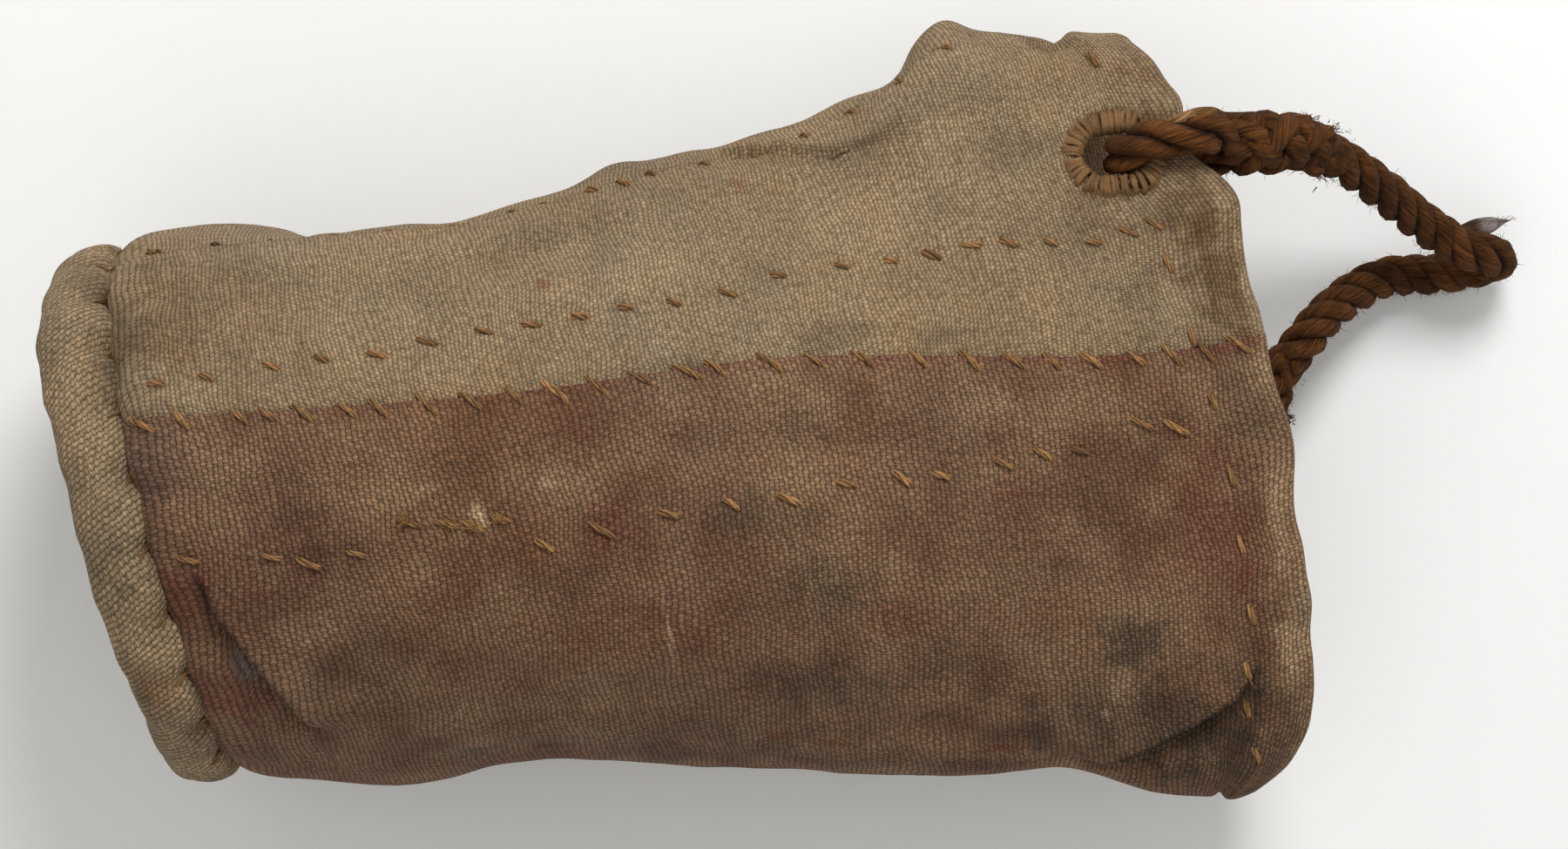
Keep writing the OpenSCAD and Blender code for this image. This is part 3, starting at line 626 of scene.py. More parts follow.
def weave_uv(mesh, values):
    """UV map in metres, from one pair of values for each point."""
    layer = mesh.uv_layers.active or mesh.uv_layers.new(name="weave")
    layer.name = "weave"
    index = np.empty(len(mesh.loops), np.int64)
    mesh.loops.foreach_get("vertex_index", index)
    layer.data.foreach_set("uv", np.asarray(values, np.float32).reshape(-1, 2)[index].ravel())


def cloth_grid(name, points, uv, dye, worn):
    """A grid of rows and columns shaped into a sheet of cloth. Points are in millimetres."""
    rows, cols = points.shape[:2]
    bpy.ops.object.select_all(action="DESELECT")
    bpy.ops.mesh.primitive_grid_add(x_subdivisions=cols - 1, y_subdivisions=rows - 1, size=1, calc_uvs=True)
    obj = bpy.context.active_object
    obj.name = name
    mesh = obj.data
    mesh.name = name
    mesh.vertices.foreach_set("co", np.ascontiguousarray(points.reshape(-1, 3) * MM, np.float32).ravel())
    weave_uv(mesh, uv)
    paint(mesh, "dye", dye)
    wear(mesh, worn)
    mesh.update()
    return obj


def face_outward(obj, outward):
    """Turns the faces round if they look away from the outward directions given for the points."""
    mesh = obj.data
    normals = np.empty(len(mesh.vertices) * 3, np.float32)
    mesh.vertices.foreach_get("normal", normals)
    if float((normals.reshape(-1, 3) * outward.reshape(-1, 3)).sum()) < 0:
        activate(obj)
        bpy.ops.object.mode_set(mode="EDIT")
        bpy.ops.mesh.select_all(action="SELECT")
        bpy.ops.mesh.flip_normals()
        bpy.ops.object.mode_set(mode="OBJECT")


def thicken(obj, thickness):
    """Gives a sheet its thickness, inward from its outer face."""
    activate(obj)
    modifier = obj.modifiers.new("thickness", "SOLIDIFY")
    modifier.thickness = thickness
    modifier.offset = -1
    modifier.use_even_offset = False
    bpy.ops.object.modifier_apply(modifier=modifier.name)


def merge_close(obj):
    activate(obj)
    bpy.ops.object.mode_set(mode="EDIT")
    bpy.ops.mesh.select_all(action="SELECT")
    bpy.ops.mesh.remove_doubles(threshold=0.00002)
    bpy.ops.object.mode_set(mode="OBJECT")


def cut_eyelet(obj, frame_axes):
    """Opens the cloth inside an eyelet's ring."""
    mesh = obj.data
    along, across, out, middle = frame_axes
    local = points_of(mesh) - middle
    s, r, n = local @ along, local @ across, local @ out
    over = np.sign(s) * np.maximum(np.abs(s) - EYELET_STRETCH / 2, 0)
    inside = (np.hypot(over, r) < RING_END_R) & (np.abs(n) < 8)
    activate(obj)
    bpy.ops.object.mode_set(mode="EDIT")
    bpy.ops.mesh.select_all(action="DESELECT")
    bpy.ops.object.mode_set(mode="OBJECT")
    for i in np.flatnonzero(inside):
        mesh.vertices[int(i)].select = True
    bpy.ops.object.mode_set(mode="EDIT")
    bpy.ops.mesh.select_mode(type="VERT")
    bpy.ops.mesh.delete(type="VERT")
    bpy.ops.object.mode_set(mode="OBJECT")


# Materials


def wire(tree, kind, inputs=None, **settings):
    """A node with its settings; inputs maps a socket's name or number to a value or another node's socket."""
    made = tree.nodes.new(kind)
    for key, value in settings.items():
        setattr(made, key, value)
    for key, value in (inputs or {}).items():
        if isinstance(value, bpy.types.NodeSocket):
            tree.links.new(value, made.inputs[key])
        else:
            made.inputs[key].default_value = value
    return made


def calc(tree, operation, a, b=0.0, c=0.0):
    return wire(tree, "ShaderNodeMath", {0: a, 1: b, 2: c}, operation=operation).outputs[0]


def noise_at(tree, vector, scale, detail=2.0):
    noise = wire(tree, "ShaderNodeTexNoise", {"Vector": vector, "Scale": scale, "Detail": detail})
    return noise.outputs["Fac"]


def stretch(tree, vector, x, y, z=1.0):
    return wire(tree, "ShaderNodeMapping", {"Vector": vector, "Scale": (x, y, z)}).outputs["Vector"]


def scaled(tree, vector, amount):
    """A colour or a vector times a number."""
    return wire(tree, "ShaderNodeVectorMath", {0: vector, "Scale": amount}, operation="SCALE").outputs[0]


def mixed(tree, share, first, second):
    """The first colour at share 0, the second at 1."""
    return wire(tree, "ShaderNodeMix", {0: share, 6: first, 7: second}, data_type="RGBA").outputs[2]


def dress_shader(tree, shader, colour, roughness, height, strength, depth):
    """Links a colour, a roughness and a bump to the shader."""
    tree.links.new(colour, shader.inputs["Base Color"])
    tree.links.new(roughness, shader.inputs["Roughness"])
    bump = wire(tree, "ShaderNodeBump", {"Strength": strength, "Distance": depth, "Height": height})
    tree.links.new(bump.outputs["Normal"], shader.inputs["Normal"])


def blank_material(name, roughness, specular, sheen):
    material = bpy.data.materials.new(name)
    material.use_nodes = True
    shader = material.node_tree.nodes["Principled BSDF"]
    shader.inputs["Roughness"].default_value = roughness
    shader.inputs["Specular IOR Level"].default_value = specular
    shader.inputs["Sheen Weight"].default_value = sheen
    shader.inputs["Sheen Roughness"].default_value = 0.6
    return material, material.node_tree, shader


def canvas_material(name, warp, weft, depth):
    """Plain-woven canvas: threads that pass over and under, slubs, and the dye painted on the piece, with
    painted shade in the gaps between the threads and a partly painted highlight on their tops.
    """
    material, tree, shader = blank_material(name, 0.92, 0.10, 0.04)
    uv = wire(tree, "ShaderNodeUVMap", uv_map="weave").outputs["UV"]
    bent = uv
    for scale, reach in ((22.0, 0.007), (90.0, 0.0022), (420.0, 0.0005)):
        noise = wire(tree, "ShaderNodeTexNoise", {"Vector": uv, "Scale": scale, "Detail": 2.0})
        lumps = {0: noise.outputs["Color"], 1: (0.5, 0.5, 0.5)}
        even = wire(tree, "ShaderNodeVectorMath", lumps, operation="SUBTRACT")
        drift = scaled(tree, even.outputs[0], reach)
        bent = wire(tree, "ShaderNodeVectorMath", {0: bent, 1: drift}, operation="ADD").outputs[0]
    axes = wire(tree, "ShaderNodeSeparateXYZ", {0: bent})
    run = calc(tree, "PINGPONG", axes.outputs[0], warp)
    girth = calc(tree, "PINGPONG", axes.outputs[1], weft)
    far_run = calc(tree, "SUBTRACT", warp, run)
    far_girth = calc(tree, "SUBTRACT", weft, girth)

    def beads(places, length, width, height):
        """Rounded tops of the threads at two places of the weave's cell."""
        near = []
        for a, b in places:
            long = calc(tree, "POWER", calc(tree, "DIVIDE", a, length * warp), 2.0)
            wide = calc(tree, "POWER", calc(tree, "DIVIDE", b, width * weft), 2.0)
            near.append(calc(tree, "ADD", long, wide))
        top = calc(tree, "MAXIMUM", calc(tree, "SUBTRACT", 1.0, calc(tree, "MINIMUM", *near)), 0.0)
        return calc(tree, "MULTIPLY", calc(tree, "POWER", top, 0.7), height)

    over = beads(((run, girth), (far_run, far_girth)), 0.58, 0.84, 1.0)
    under = beads(((run, far_girth), (far_run, girth)), 0.5, 0.5, 0.62)
    knot = calc(tree, "MAXIMUM", over, under)
    slub_run = noise_at(tree, stretch(tree, bent, 70, 1000), 1.0)
    slub_girth = noise_at(tree, stretch(tree, bent, 1300, 70), 1.0)
    slub = calc(tree, "MULTIPLY_ADD", calc(tree, "ADD", slub_run, slub_girth), 1.1, -0.1)
    fuzz = noise_at(tree, uv, 2600.0, 3.0)
    height = calc(tree, "MULTIPLY_ADD", fuzz, 0.25, calc(tree, "MULTIPLY", knot, slub))
    dye = wire(tree, "ShaderNodeVertexColor", layer_name="dye").outputs["Color"]
    worn = wire(tree, "ShaderNodeAttribute", attribute_name="worn").outputs["Fac"]
    # Painted light of the weave: the thread tops take the worn colour times a random brightness that is a
    # little above one on average, partly random tone and partly painted highlight; the gaps are painted shade
    # at a third of the dye.
    grain = noise_at(tree, uv, 700.0, 3.0)
    light = calc(tree, "MULTIPLY_ADD", grain, 2.2, 0.08)
    bare = mixed(tree, worn, dye, (*BARE_THREAD, 1.0))
    tops = scaled(tree, bare, light)
    shaded_gaps = scaled(tree, dye, 0.34)
    raised = calc(tree, "MAXIMUM", calc(tree, "MULTIPLY_ADD", height, 1.35, -0.10), 0.0)
    raised = calc(tree, "MINIMUM", raised, 1.0)
    colour = mixed(tree, raised, shaded_gaps, tops)
    rough = calc(tree, "MULTIPLY_ADD", height, -0.12, 0.98)
    dress_shader(tree, shader, colour, rough, height, 0.85, depth)
    return material


def fibre_material(name, lean, ridges, depth, roughness, specular, contrast):
    """Twisted fibre: streaks that wind round each yarn, over the dye painted on the piece. The streaks'
    colour follows their height, partly fibre grain and partly painted shade and highlight.
    """
    material, tree, shader = blank_material(name, roughness, specular, 0.02)
    uv = wire(tree, "ShaderNodeUVMap", uv_map="weave").outputs["UV"]
    axes = wire(tree, "ShaderNodeSeparateXYZ", {0: uv})
    wound = calc(tree, "MULTIPLY_ADD", axes.outputs[1], lean, axes.outputs[0])
    place = wire(tree, "ShaderNodeCombineXYZ", {0: wound, 1: axes.outputs[1]}).outputs[0]
    streak = noise_at(tree, stretch(tree, place, ridges, 110), 1.0, 4.0)
    fine = noise_at(tree, stretch(tree, place, ridges * 3.5, 260), 1.0, 3.0)
    blotch = noise_at(tree, wire(tree, "ShaderNodeTexCoord").outputs["Object"], 140.0, 3.0)
    height = calc(tree, "MULTIPLY_ADD", fine, 0.6, streak)
    dye = wire(tree, "ShaderNodeVertexColor", layer_name="dye").outputs["Color"]
    # The dye is darkened where the fibres lie low and lightened where they stand high, partly fibre grain and
    # partly painted shade and highlight, with random blotches over it.
    shade = calc(tree, "MULTIPLY_ADD", height, contrast, 1 - 0.8 * contrast)
    patchy = calc(tree, "MULTIPLY_ADD", blotch, 1.4, 0.3)
    shade = calc(tree, "MULTIPLY", calc(tree, "MAXIMUM", shade, 0.1), patchy)
    rough = calc(tree, "MULTIPLY_ADD", streak, -0.2, roughness + 0.1)
    dress_shader(tree, shader, scaled(tree, dye, shade), rough, height, 0.8, depth)
    return material


def shared_material(name, make, *values):
    """The material of that name, made once."""
    return bpy.data.materials.get(name) or make(name, *values)


def panel_canvas(cloth):
    return shared_material("sewn_canvas", canvas_material, cloth.warp_pitch, cloth.weft_pitch, 0.0005)


def coarse_canvas(cloth):
    return shared_material("coarse_canvas", canvas_material, cloth.coarse_warp, cloth.coarse_weft, 0.0005)


def sewing_twine():
    return shared_material("sewing_twine", fibre_material, 300.0, 5.0, 0.0003, 0.8, 0.2, 2.2)


def worked_twine():
    return shared_material("worked_twine", fibre_material, 300.0, 5.0, 0.0003, 0.85, 0.1, 1.3)


def tarred_hemp():
    return shared_material("tarred_hemp", fibre_material, 55.0, 22.0, 0.0012, 0.82, 0.08, 3.3)


# Cords of yarn


def catmull(points, n):
    """Smooth curve through points, n steps for each span."""
    p = np.asarray(points, float)
    result = []
    for i in range(len(p) - 1):
        a, b, c, d = p[max(i - 1, 0)], p[i], p[i + 1], p[min(i + 2, len(p) - 1)]
        for k in range(n):
            s = k / n
            square, cube = 2 * a - 5 * b + 4 * c - d, 3 * b - a - 3 * c + d
            result.append((2 * b + (c - a) * s + square * s**2 + cube * s**3) / 2)
    result.append(p[-1])
    return np.array(result)


def evenly(path, step):
    """The same path with points a step apart."""
    run = run_of(path)
    places = np.linspace(0, run[-1], max(int(round(run[-1] / step)), 3) + 1)
    return np.stack([np.interp(places, run, path[:, k]) for k in range(3)], -1)


def smoothed(path, passes):
    """A path with its small kinks eased, ends kept."""
    p = np.array(path)
    for _ in range(passes):
        p[1:-1] = 0.5 * p[1:-1] + 0.25 * (p[:-2] + p[2:])
    return p


def carried_frames(path, start):
    """Directions along a path, and two cross directions carried along it without twist."""
    d = unit(np.gradient(path, axis=0))
    u = np.zeros_like(d)
    last = np.asarray(start, float)
    for i in range(len(d)):
        last = last - (last @ d[i]) * d[i]
        last = last / np.linalg.norm(last)
        u[i] = last
    return d, u, np.cross(d, u)


def spun(u, w, turn):
    """Cross direction at an angle about a path, one for each of its points."""
    return u * np.cos(turn)[:, None] + w * np.sin(turn)[:, None]


class Skein:
    """Gathers tubes of yarn into one mesh, with girth and run as its UV map and a dye for each tube."""

    def __init__(self):
        self.points, self.faces, self.uv, self.dye = [], [], [], []
        self.count = 0

    def tube(self, path, radius, sides, dye, lobes=0, lobe_height=0.0, lobe_turn=0.0,
             start=(0.13, 0.31, 0.94), outward=None):
        """A closed tube along a path in millimetres; radius and dye are one value, or one for each point.

        Where outward directions are given, painted shade darkens the dye on the side that lies against the
        other strands; lobes get painted shade in their grooves.
        """
        path = np.asarray(path, float)
        n = len(path)
        _, u, w = carried_frames(path, start)
        run = run_of(path)
        angle = np.linspace(0, 2 * math.pi, sides, endpoint=False)
        r = np.broadcast_to(np.asarray(radius, float), (n,))[:, None] * np.ones(sides)
        if lobes:
            r = r * (1 + lobe_height * np.cos(lobes * angle[None, :] + lobe_turn * run[:, None]))
        ring = u[:, None] * np.cos(angle)[None, :, None] + w[:, None] * np.sin(angle)[None, :, None]
        shell = path[:, None] + ring * r[..., None]
        self.points.append(shell.reshape(-1, 3))
        colour = np.repeat(np.broadcast_to(np.asarray(dye, float), (n, 3)), sides, axis=0)
        # Painted shade on the side that lies against the other strands.
        if outward is not None:
            facing = (ring * outward[:, None]).sum(-1).reshape(-1, 1)
            colour = colour * (0.28 + 0.72 * ease((facing + 0.25) / 1.05))
        # Painted shade in the grooves between the lobes.
        if lobes:
            crest = np.cos(lobes * angle[None, :] + lobe_turn * run[:, None]).reshape(-1, 1)
            colour = colour * (0.86 + 0.14 * crest)
        self.dye.append(colour)
        first = self.count
        for i in range(n - 1):
            for k in range(sides):
                m = (k + 1) % sides
                a, b = first + i * sides + k, first + i * sides + m
                self.faces.append((a, b, b + sides, a + sides))
                low, high = run[i] * MM, run[i + 1] * MM
                left, right = k / sides, (k + 1) / sides
                self.uv += [(left, low), (right, low), (right, high), (left, high)]
        for base, turn in ((first, -1), (first + (n - 1) * sides, 1)):
            cap = tuple(base + k for k in range(sides))[::turn]
            self.faces.append(cap)
            self.uv += [(0.5, (run[-1] if turn > 0 else 0) * MM)] * sides
        self.count += n * sides

    def make(self, name):
        mesh = bpy.data.meshes.new(name)
        mesh.from_pydata((np.concatenate(self.points) * MM).tolist(), [], self.faces)
        layer = mesh.uv_layers.new(name="weave")
        layer.data.foreach_set("uv", np.asarray(self.uv, np.float32).ravel())
        paint(mesh, "dye", np.concatenate(self.dye))
        mesh.update()
        obj = bpy.data.objects.new(name, mesh)
        bpy.context.scene.collection.objects.link(obj)
        return obj


def laid_rope(skein, path, half_u, half_w, lay, dye, start, strands=3, phase=0.0):
    """Strands laid round a path; half-widths, lay and dye are one value, or one for each point."""
    run = run_of(path)
    _, u, w = carried_frames(path, start)
    half_u = np.broadcast_to(np.asarray(half_u, float), (len(path),))
    half_w = np.broadcast_to(np.asarray(half_w, float), (len(path),))
    wound = np.concatenate([[0], np.cumsum(np.diff(run) / np.broadcast_to(lay, (len(path),))[1:])])
    thick = STRAND_SHARE
    for j in range(strands):
        turn = 2 * math.pi * (wound + j / strands) + phase
        away = u * np.cos(turn)[:, None] * half_u[:, None] + w * np.sin(turn)[:, None] * half_w[:, None]
        line = path + (1 - thick) * away
        fat = 1 + 0.05 * cloud(line, 6, 41 + j)
        shade = np.asarray(dye) * (1 + 0.3 * cloud(line, 9, 51 + j) + 0.2 * cloud(line, 4, 61 + j))[:, None]
        # Each strand gets painted shade on the side that faces the rope's middle.
        skein.tube(line, thick * (half_u + half_w) / 2 * fat, 18, shade, 8, 0.06, 0.55, start, unit(away))


def tucked_splice(skein, path, wide, tall, ends, lay, dye, start, count=3):
    """Strands of both hands that pass over and under each other round a path and taper into the rope.

    The half-widths wide and tall are one for each point, ends is the rope's own.
    """
    run = run_of(path)
    share = run / run[-1]
    _, u, w = carried_frames(path, start)
    settle = ease((share - 0.35) / 0.65)
    # A dark core at a third of the rope's colour fills the middle between the strands as painted shade.
    skein.tube(path, 0.55 * np.minimum(wide, tall), 12, np.asarray(dye) * 0.3, start=start)
    for hand, thin in ((1, 0.0), (-1, 0.5)):
        for j in range(count):
            turn = hand * 2 * math.pi * (run / lay + j / count) + 0.4
            thick = np.where(hand > 0, 2.9 + (STRAND_SHARE * ends - 2.9) * settle, 2.8) * (1 - thin * settle)
            lift = hand * 0.8 * (1 - 0.8 * settle) * np.cos(2 * math.pi * count * run / lay)
            inset = thick + 0.5 * (1 - settle) - lift
            line = path + u * (np.cos(turn) * (wide - inset))[:, None]
            line = line + w * (np.sin(turn) * (tall - inset))[:, None]
            stray = np.stack([cloud(line, 5, 91 + 3 * j + axis) for axis in range(3)], -1)
            line = line + 0.7 * (1 - settle)[:, None] * stray
            fat = 1 + 0.12 * cloud(line, 5, 71 + j)
            tone = 1 + 0.35 * cloud(line, 8, 75 + j) + 0.25 * cloud(line, 3.5, 79 + j)
            shade = np.asarray(dye) * tone[:, None]
            # Each strand gets painted shade on the side that faces the splice's middle.
            skein.tube(line, thick * fat, 16, shade, 7, 0.08, 0.6, start, unit(spun(u, w, turn)))


def fray(skein, roots, ways, rng, length, thick, dye):
    """Loose fibres that stand off their roots along the given ways, each with its own bend."""
    for root, way in zip(roots, ways):
        reach = rng.uniform(*length)
        bend = rng.normal(size=3) * 0.45
        s = np.linspace(0, 1, 5)[:, None]
        path = root + reach * (way * s + bend * s * s * 0.6)
        path[:, 2] = np.maximum(path[:, 2], 0.2)
        taper = thick * np.array([1, 0.9, 0.75, 0.55, 0.3])
        skein.tube(path, taper, 3, np.asarray(dye) * rng.uniform(0.6, 1.6))


# Eyelet frames


def wall_frame(v, t, h):
    """Directions along the bag, round it and outward, and the point itself."""
    s = unit(wall(v + 0.01, t, h) - wall(v - 0.01, t, h))
    r = wall(v, t - 1, h) - wall(v, t + 1, h)
    n = unit(np.cross(s, r))
    return s, np.cross(n, s), n, wall(v, t, h)


def eyelet_frame(t, back, turn):
    s, r, n, p = wall_frame(float(back_v(t, back)), t, -1.8)
    a = math.radians(turn)
    return math.cos(a) * s + math.sin(a) * r, math.cos(a) * r - math.sin(a) * s, n, p


def eyelet_line(q):
    """Middle line of an eyelet's ring at a run q, and the outward way there, in the ring's own plane."""
    half_turn = math.pi * RING_END_R
    side = 0 if q < half_turn + EYELET_STRETCH else 1
    q = q - side * (half_turn + EYELET_STRETCH)
    if q < half_turn:
        a = -math.pi / 2 + q / RING_END_R
        place = np.array([EYELET_STRETCH / 2 + RING_END_R * math.cos(a), RING_END_R * math.sin(a)])
        way = np.array([math.cos(a), math.sin(a)])
    else:
        place = np.array([EYELET_STRETCH / 2 - (q - half_turn), RING_END_R])
        way = np.array([0.0, 1.0])
    return (place, way) if side == 0 else (-place, -way)


EYELET_GIRTH = 2 * (math.pi * RING_END_R + EYELET_STRETCH)

# Shapes shared between the operators
MADE = {}


class BAG_OT_stage(bpy.types.Operator):
    """Adds the floor, the soft light and the camera."""

    bl_idname = "bag.stage"
    bl_label = "Stage, light and camera"

    def execute(self, context):
        stage = context.scene.bag_stage
        data = bpy.data.cameras.new("camera")
        data.lens = stage.lens
        data.sensor_width = 36.0
        data.clip_start = 0.05
        camera = bpy.data.objects.new("camera", data)
        camera.location = CAMERA_PLACE
        camera.rotation_euler = (0.0, 0.0, stage.turn)
        context.scene.collection.objects.link(camera)
        context.scene.camera = camera

        bpy.ops.object.select_all(action="DESELECT")
        bpy.ops.mesh.primitive_grid_add(x_subdivisions=8, y_subdivisions=8, size=4.0)
        floor = context.active_object
        floor.name = "floor"
        material, tree, shader = blank_material("pale_floor", 0.9, 0.1, 0.0)
        place = wire(tree, "ShaderNodeTexCoord").outputs["Object"]
        grain = noise_at(tree, place, 40.0, 4.0)
        tone = calc(tree, "MULTIPLY_ADD", grain, 0.03, 0.985)
        tree.links.new(scaled(tree, tuple(stage.floor), tone), shader.inputs["Base Color"])
        floor.data.materials.append(material)

        def area_light(name, place, size, power):
            light = bpy.data.lights.new(name, "AREA")
            light.shape = "DISK"
            light.size = size
            light.energy = power
            lamp = bpy.data.objects.new(name, light)
            lamp.location = place
            way = Vector((0.0, 0.0, 0.06)) - Vector(place)
            lamp.rotation_euler = way.to_track_quat("-Z", "Y").to_euler()
            context.scene.collection.objects.link(lamp)

        area_light("key_light", (0.42, 0.7, 1.05), 0.5, stage.key)
        area_light("fill_light", (-0.3, -0.3, 1.6), 1.6, 0.3 * stage.key)
        world = bpy.data.worlds.new("even_light")
        world.use_nodes = True
        sky = world.node_tree.nodes["Background"]
        sky.inputs["Color"].default_value = (1.0, 0.99, 0.97, 1.0)
        sky.inputs["Strength"].default_value = stage.sky
        context.scene.world = world
        context.scene.view_settings.view_transform = "Standard"
        return {"FINISHED"}


def eye_path(axes, edge_s, throat_s, flip):
    """Route of an eye through its hole and round the hem, in millimetres."""
    along, _, out, middle = axes
    out = out * flip
    eye_r, gap, hem_half, ring_end, hole_s = 5.0, 0.35, 1.8, EYELET_STRETCH / 2 + RING_END_R, 1.5
    tilt = math.radians(16.5)
    close_n = RING_R + eye_r + gap
    slack_n = close_n + (ring_end - hole_s) * math.sin(tilt)
    bend_r, bend_n = (close_n + slack_n) / 2, (close_n - slack_n) / 2
    throat_half = eye_r + 0.2
    slack_edge = (hem_half + eye_r + gap + (edge_s - hole_s) * math.sin(tilt)) / math.cos(tilt)

    def leg(side, near_n, edge_n):
        return [
            (ring_end, side * near_n), (edge_s, side * edge_n),
            (throat_s - 6, THROAT_N + side * (throat_half + 1)),
            (throat_s - 2, THROAT_N + side * throat_half),
        ]

    bend = [
        (hole_s + bend_r - bend_r * math.cos(math.radians(a)), bend_n + bend_r * math.sin(math.radians(a)))
        for a in range(60, -61, -20)
    ]
    flat = (
        [(throat_s + 3, THROAT_N + throat_half * 0.8)] + leg(1, close_n, close_n + 2.0)[::-1] + bend
        + leg(-1, slack_n, slack_edge) + [(throat_s + 3, THROAT_N - throat_half * 0.8)]
    )
    return catmull([middle + s * along + n * out for s, n in flat], 4)


class BAG_OT_becket(bpy.types.Operator):
    """Lays the becket's rope, its two eyes and splices, the loose strand and the frayed fibres."""

    bl_idname = "bag.becket"
    bl_label = "Rope becket"

    def execute(self, context):
        rope = context.scene.bag_rope
        hemp = tarred_hemp()
        dye = np.array(rope.colour)
        radius, eye_r, lay = rope.diameter / MM / 2, rope.eye_diameter / MM / 2, rope.lay / MM
        rng = np.random.default_rng(23)
        route = catmull(np.array(BECKET_POINTS, float) + MOUTH_PLACE, 8)
        route = evenly(route, 0.9)

        def make(skein, name, node):
            return finish_piece(skein.make(name), hemp, "becket", "rope", node)

        slope = np.abs(unit(np.gradient(route, axis=0))[:, 2])
        skein = Skein()
        laid_rope(skein, route, radius, radius, lay * (1 + 0.4 * ease((slope - 0.35) / 0.4)), dye, (0, 0, 1))
        becket = make(skein, "becket_strands", "becket_rope")

        pieces, paths = [], [(route, radius)]
        front_edge = FRONT_EYELET[1] + 1
        rear_edge = REAR_EYELET[1] / math.cos(math.radians(REAR_EYELET[2])) + 3
        for name, place, flip, edge_s, tip, inner, past in (
            ("front", FRONT_EYELET, 1, front_edge, route[0], route[2], 7.0),
            ("rear", REAR_EYELET, -1, rear_edge, route[-1], route[-3], 1.0),
        ):
            axes = eyelet_frame(*place)
            way = unit(inner - tip)
            along = axes[0]
            throat_s = edge_s + THROAT_RUN
            loop = evenly(eye_path(axes, edge_s, throat_s, flip), 0.9)
            skein = Skein()
            half = eye_r if name == "front" else 0.94 * eye_r
            laid_rope(skein, loop, half, half, 1.7 * lay, dye * 1.25, axes[1])
            if name == "front":
                raised = loop[1:31] + 3.4 * axes[1] + 1.6 * axes[2]
                share = np.linspace(0, 1, len(raised))
                pale = (0.85 * bell((share - 0.8) / 0.2) * (1 + 0.5 * cloud(raised, 2.5, 99)))[:, None]
                shade = dye + (PALE_EYE - dye) * np.clip(pale, 0, 1)
                thick = 2.3 * (0.35 + 0.65 * ease((1 - share) / 0.4))
                skein.tube(raised, thick, 14, shade, 6, 0.1, 0.3, axes[1])
            pieces.append(make(skein, name + "_eye_strands", name + "_eye"))
            paths.append((loop, eye_r))

            root = axes[3] + (throat_s - 4.5) * along + THROAT_N * flip * axes[2]
            end = tip + past * way
            handle = 0.45 * np.linalg.norm(end - root)
            s = np.linspace(0, 1, 41)[:, None]
            body = (
                (1 - s) ** 3 * root + 3 * (1 - s) ** 2 * s * (root + handle * along)
                + 3 * (1 - s) * s**2 * (end - handle * way) + s**3 * end
            )
            body = evenly(body, 0.8)
            skein = Skein()
            share = np.linspace(0, 1, len(body))
            throat = 0.7 + 0.3 * ease(share / 0.2)
            wide = throat * (SPLICE_W / 2 + (radius - SPLICE_W / 2) * ease((share - 0.25) / 0.75))
            tall = throat * (2 * eye_r + 0.4 + (radius - 2 * eye_r - 0.4) * ease(share))
            tucked_splice(skein, body, wide, tall, radius, 1.25 * lay, dye, axes[1])
            d, u, w = carried_frames(body, axes[1])
            for angle, place in ((3.3, 0.74), (1.3, 0.66), (4.7, 0.72), (0.1, 0.62)):
                place = place if name == "front" else place - 0.25
                k = int(len(body) * place)
                out = u[k] * math.cos(angle) + w[k] * math.sin(angle)
                base = body[k] + u[k] * math.cos(angle) * (wide[k] - 1.2)
                base = base + w[k] * math.sin(angle) * (tall[k] - 1.4)
                line = base + np.linspace(-4.5, 2.6, 7)[:, None] * (0.9 * d[k] + 0.16 * out)
                skein.tube(line, 2.3 * np.array([0.5, 0.9, 1, 1, 1, 0.97, 0.86]), 12, dye * 1.15, 5, 0.1, 0.5)
                tips = line[-1] + rng.normal(size=(40, 3)) * 1.0
                ways = unit(d[k] + 0.4 * out + 0.5 * rng.normal(size=(40, 3)))
                fray(skein, tips, ways, rng, (0.8, 2.2), 0.2, dye * 1.4)
            pieces.append(make(skein, name + "_splice_strands", name + "_splice"))
            paths.append((body, 7.2))

        strand = evenly(catmull(np.array(STRAND_POINTS, float) + MOUTH_PLACE, 6), 0.7)
        share = np.linspace(0, 1, len(strand))
        pale = ease((share - 0.35) / 0.4)[:, None]
        shade = NOSE_ROOT + (NOSE_TIP - NOSE_ROOT) * pale
        blade = (0.55 + 0.45 * ease(share / 0.5)) * ease((1.04 - share) / 0.5)
        skein = Skein()
        for side in (-1.5, -0.5, 0.5, 1.5):
            line = strand + np.stack([0 * share, 0.85 * side * blade, 0.3 * np.cos(4 * share + side)], -1)
            skein.tube(line, 0.85 * blade + 0.08, 8, shade * rng.uniform(0.75, 1.15), 3, 0.1, 0.8)
        tips = strand[rng.integers(len(strand) // 2, len(strand), 26)] + rng.normal(size=(26, 3)) * 0.6
        ways = unit(np.array([0.9, 0.1, -0.1]) + 0.35 * rng.normal(size=(26, 3)))
        fray(skein, tips, ways, rng, (1.0, 2.6), 0.1, NOSE_FRAY)
        pieces.append(make(skein, "nose_strand", "loose_strand"))

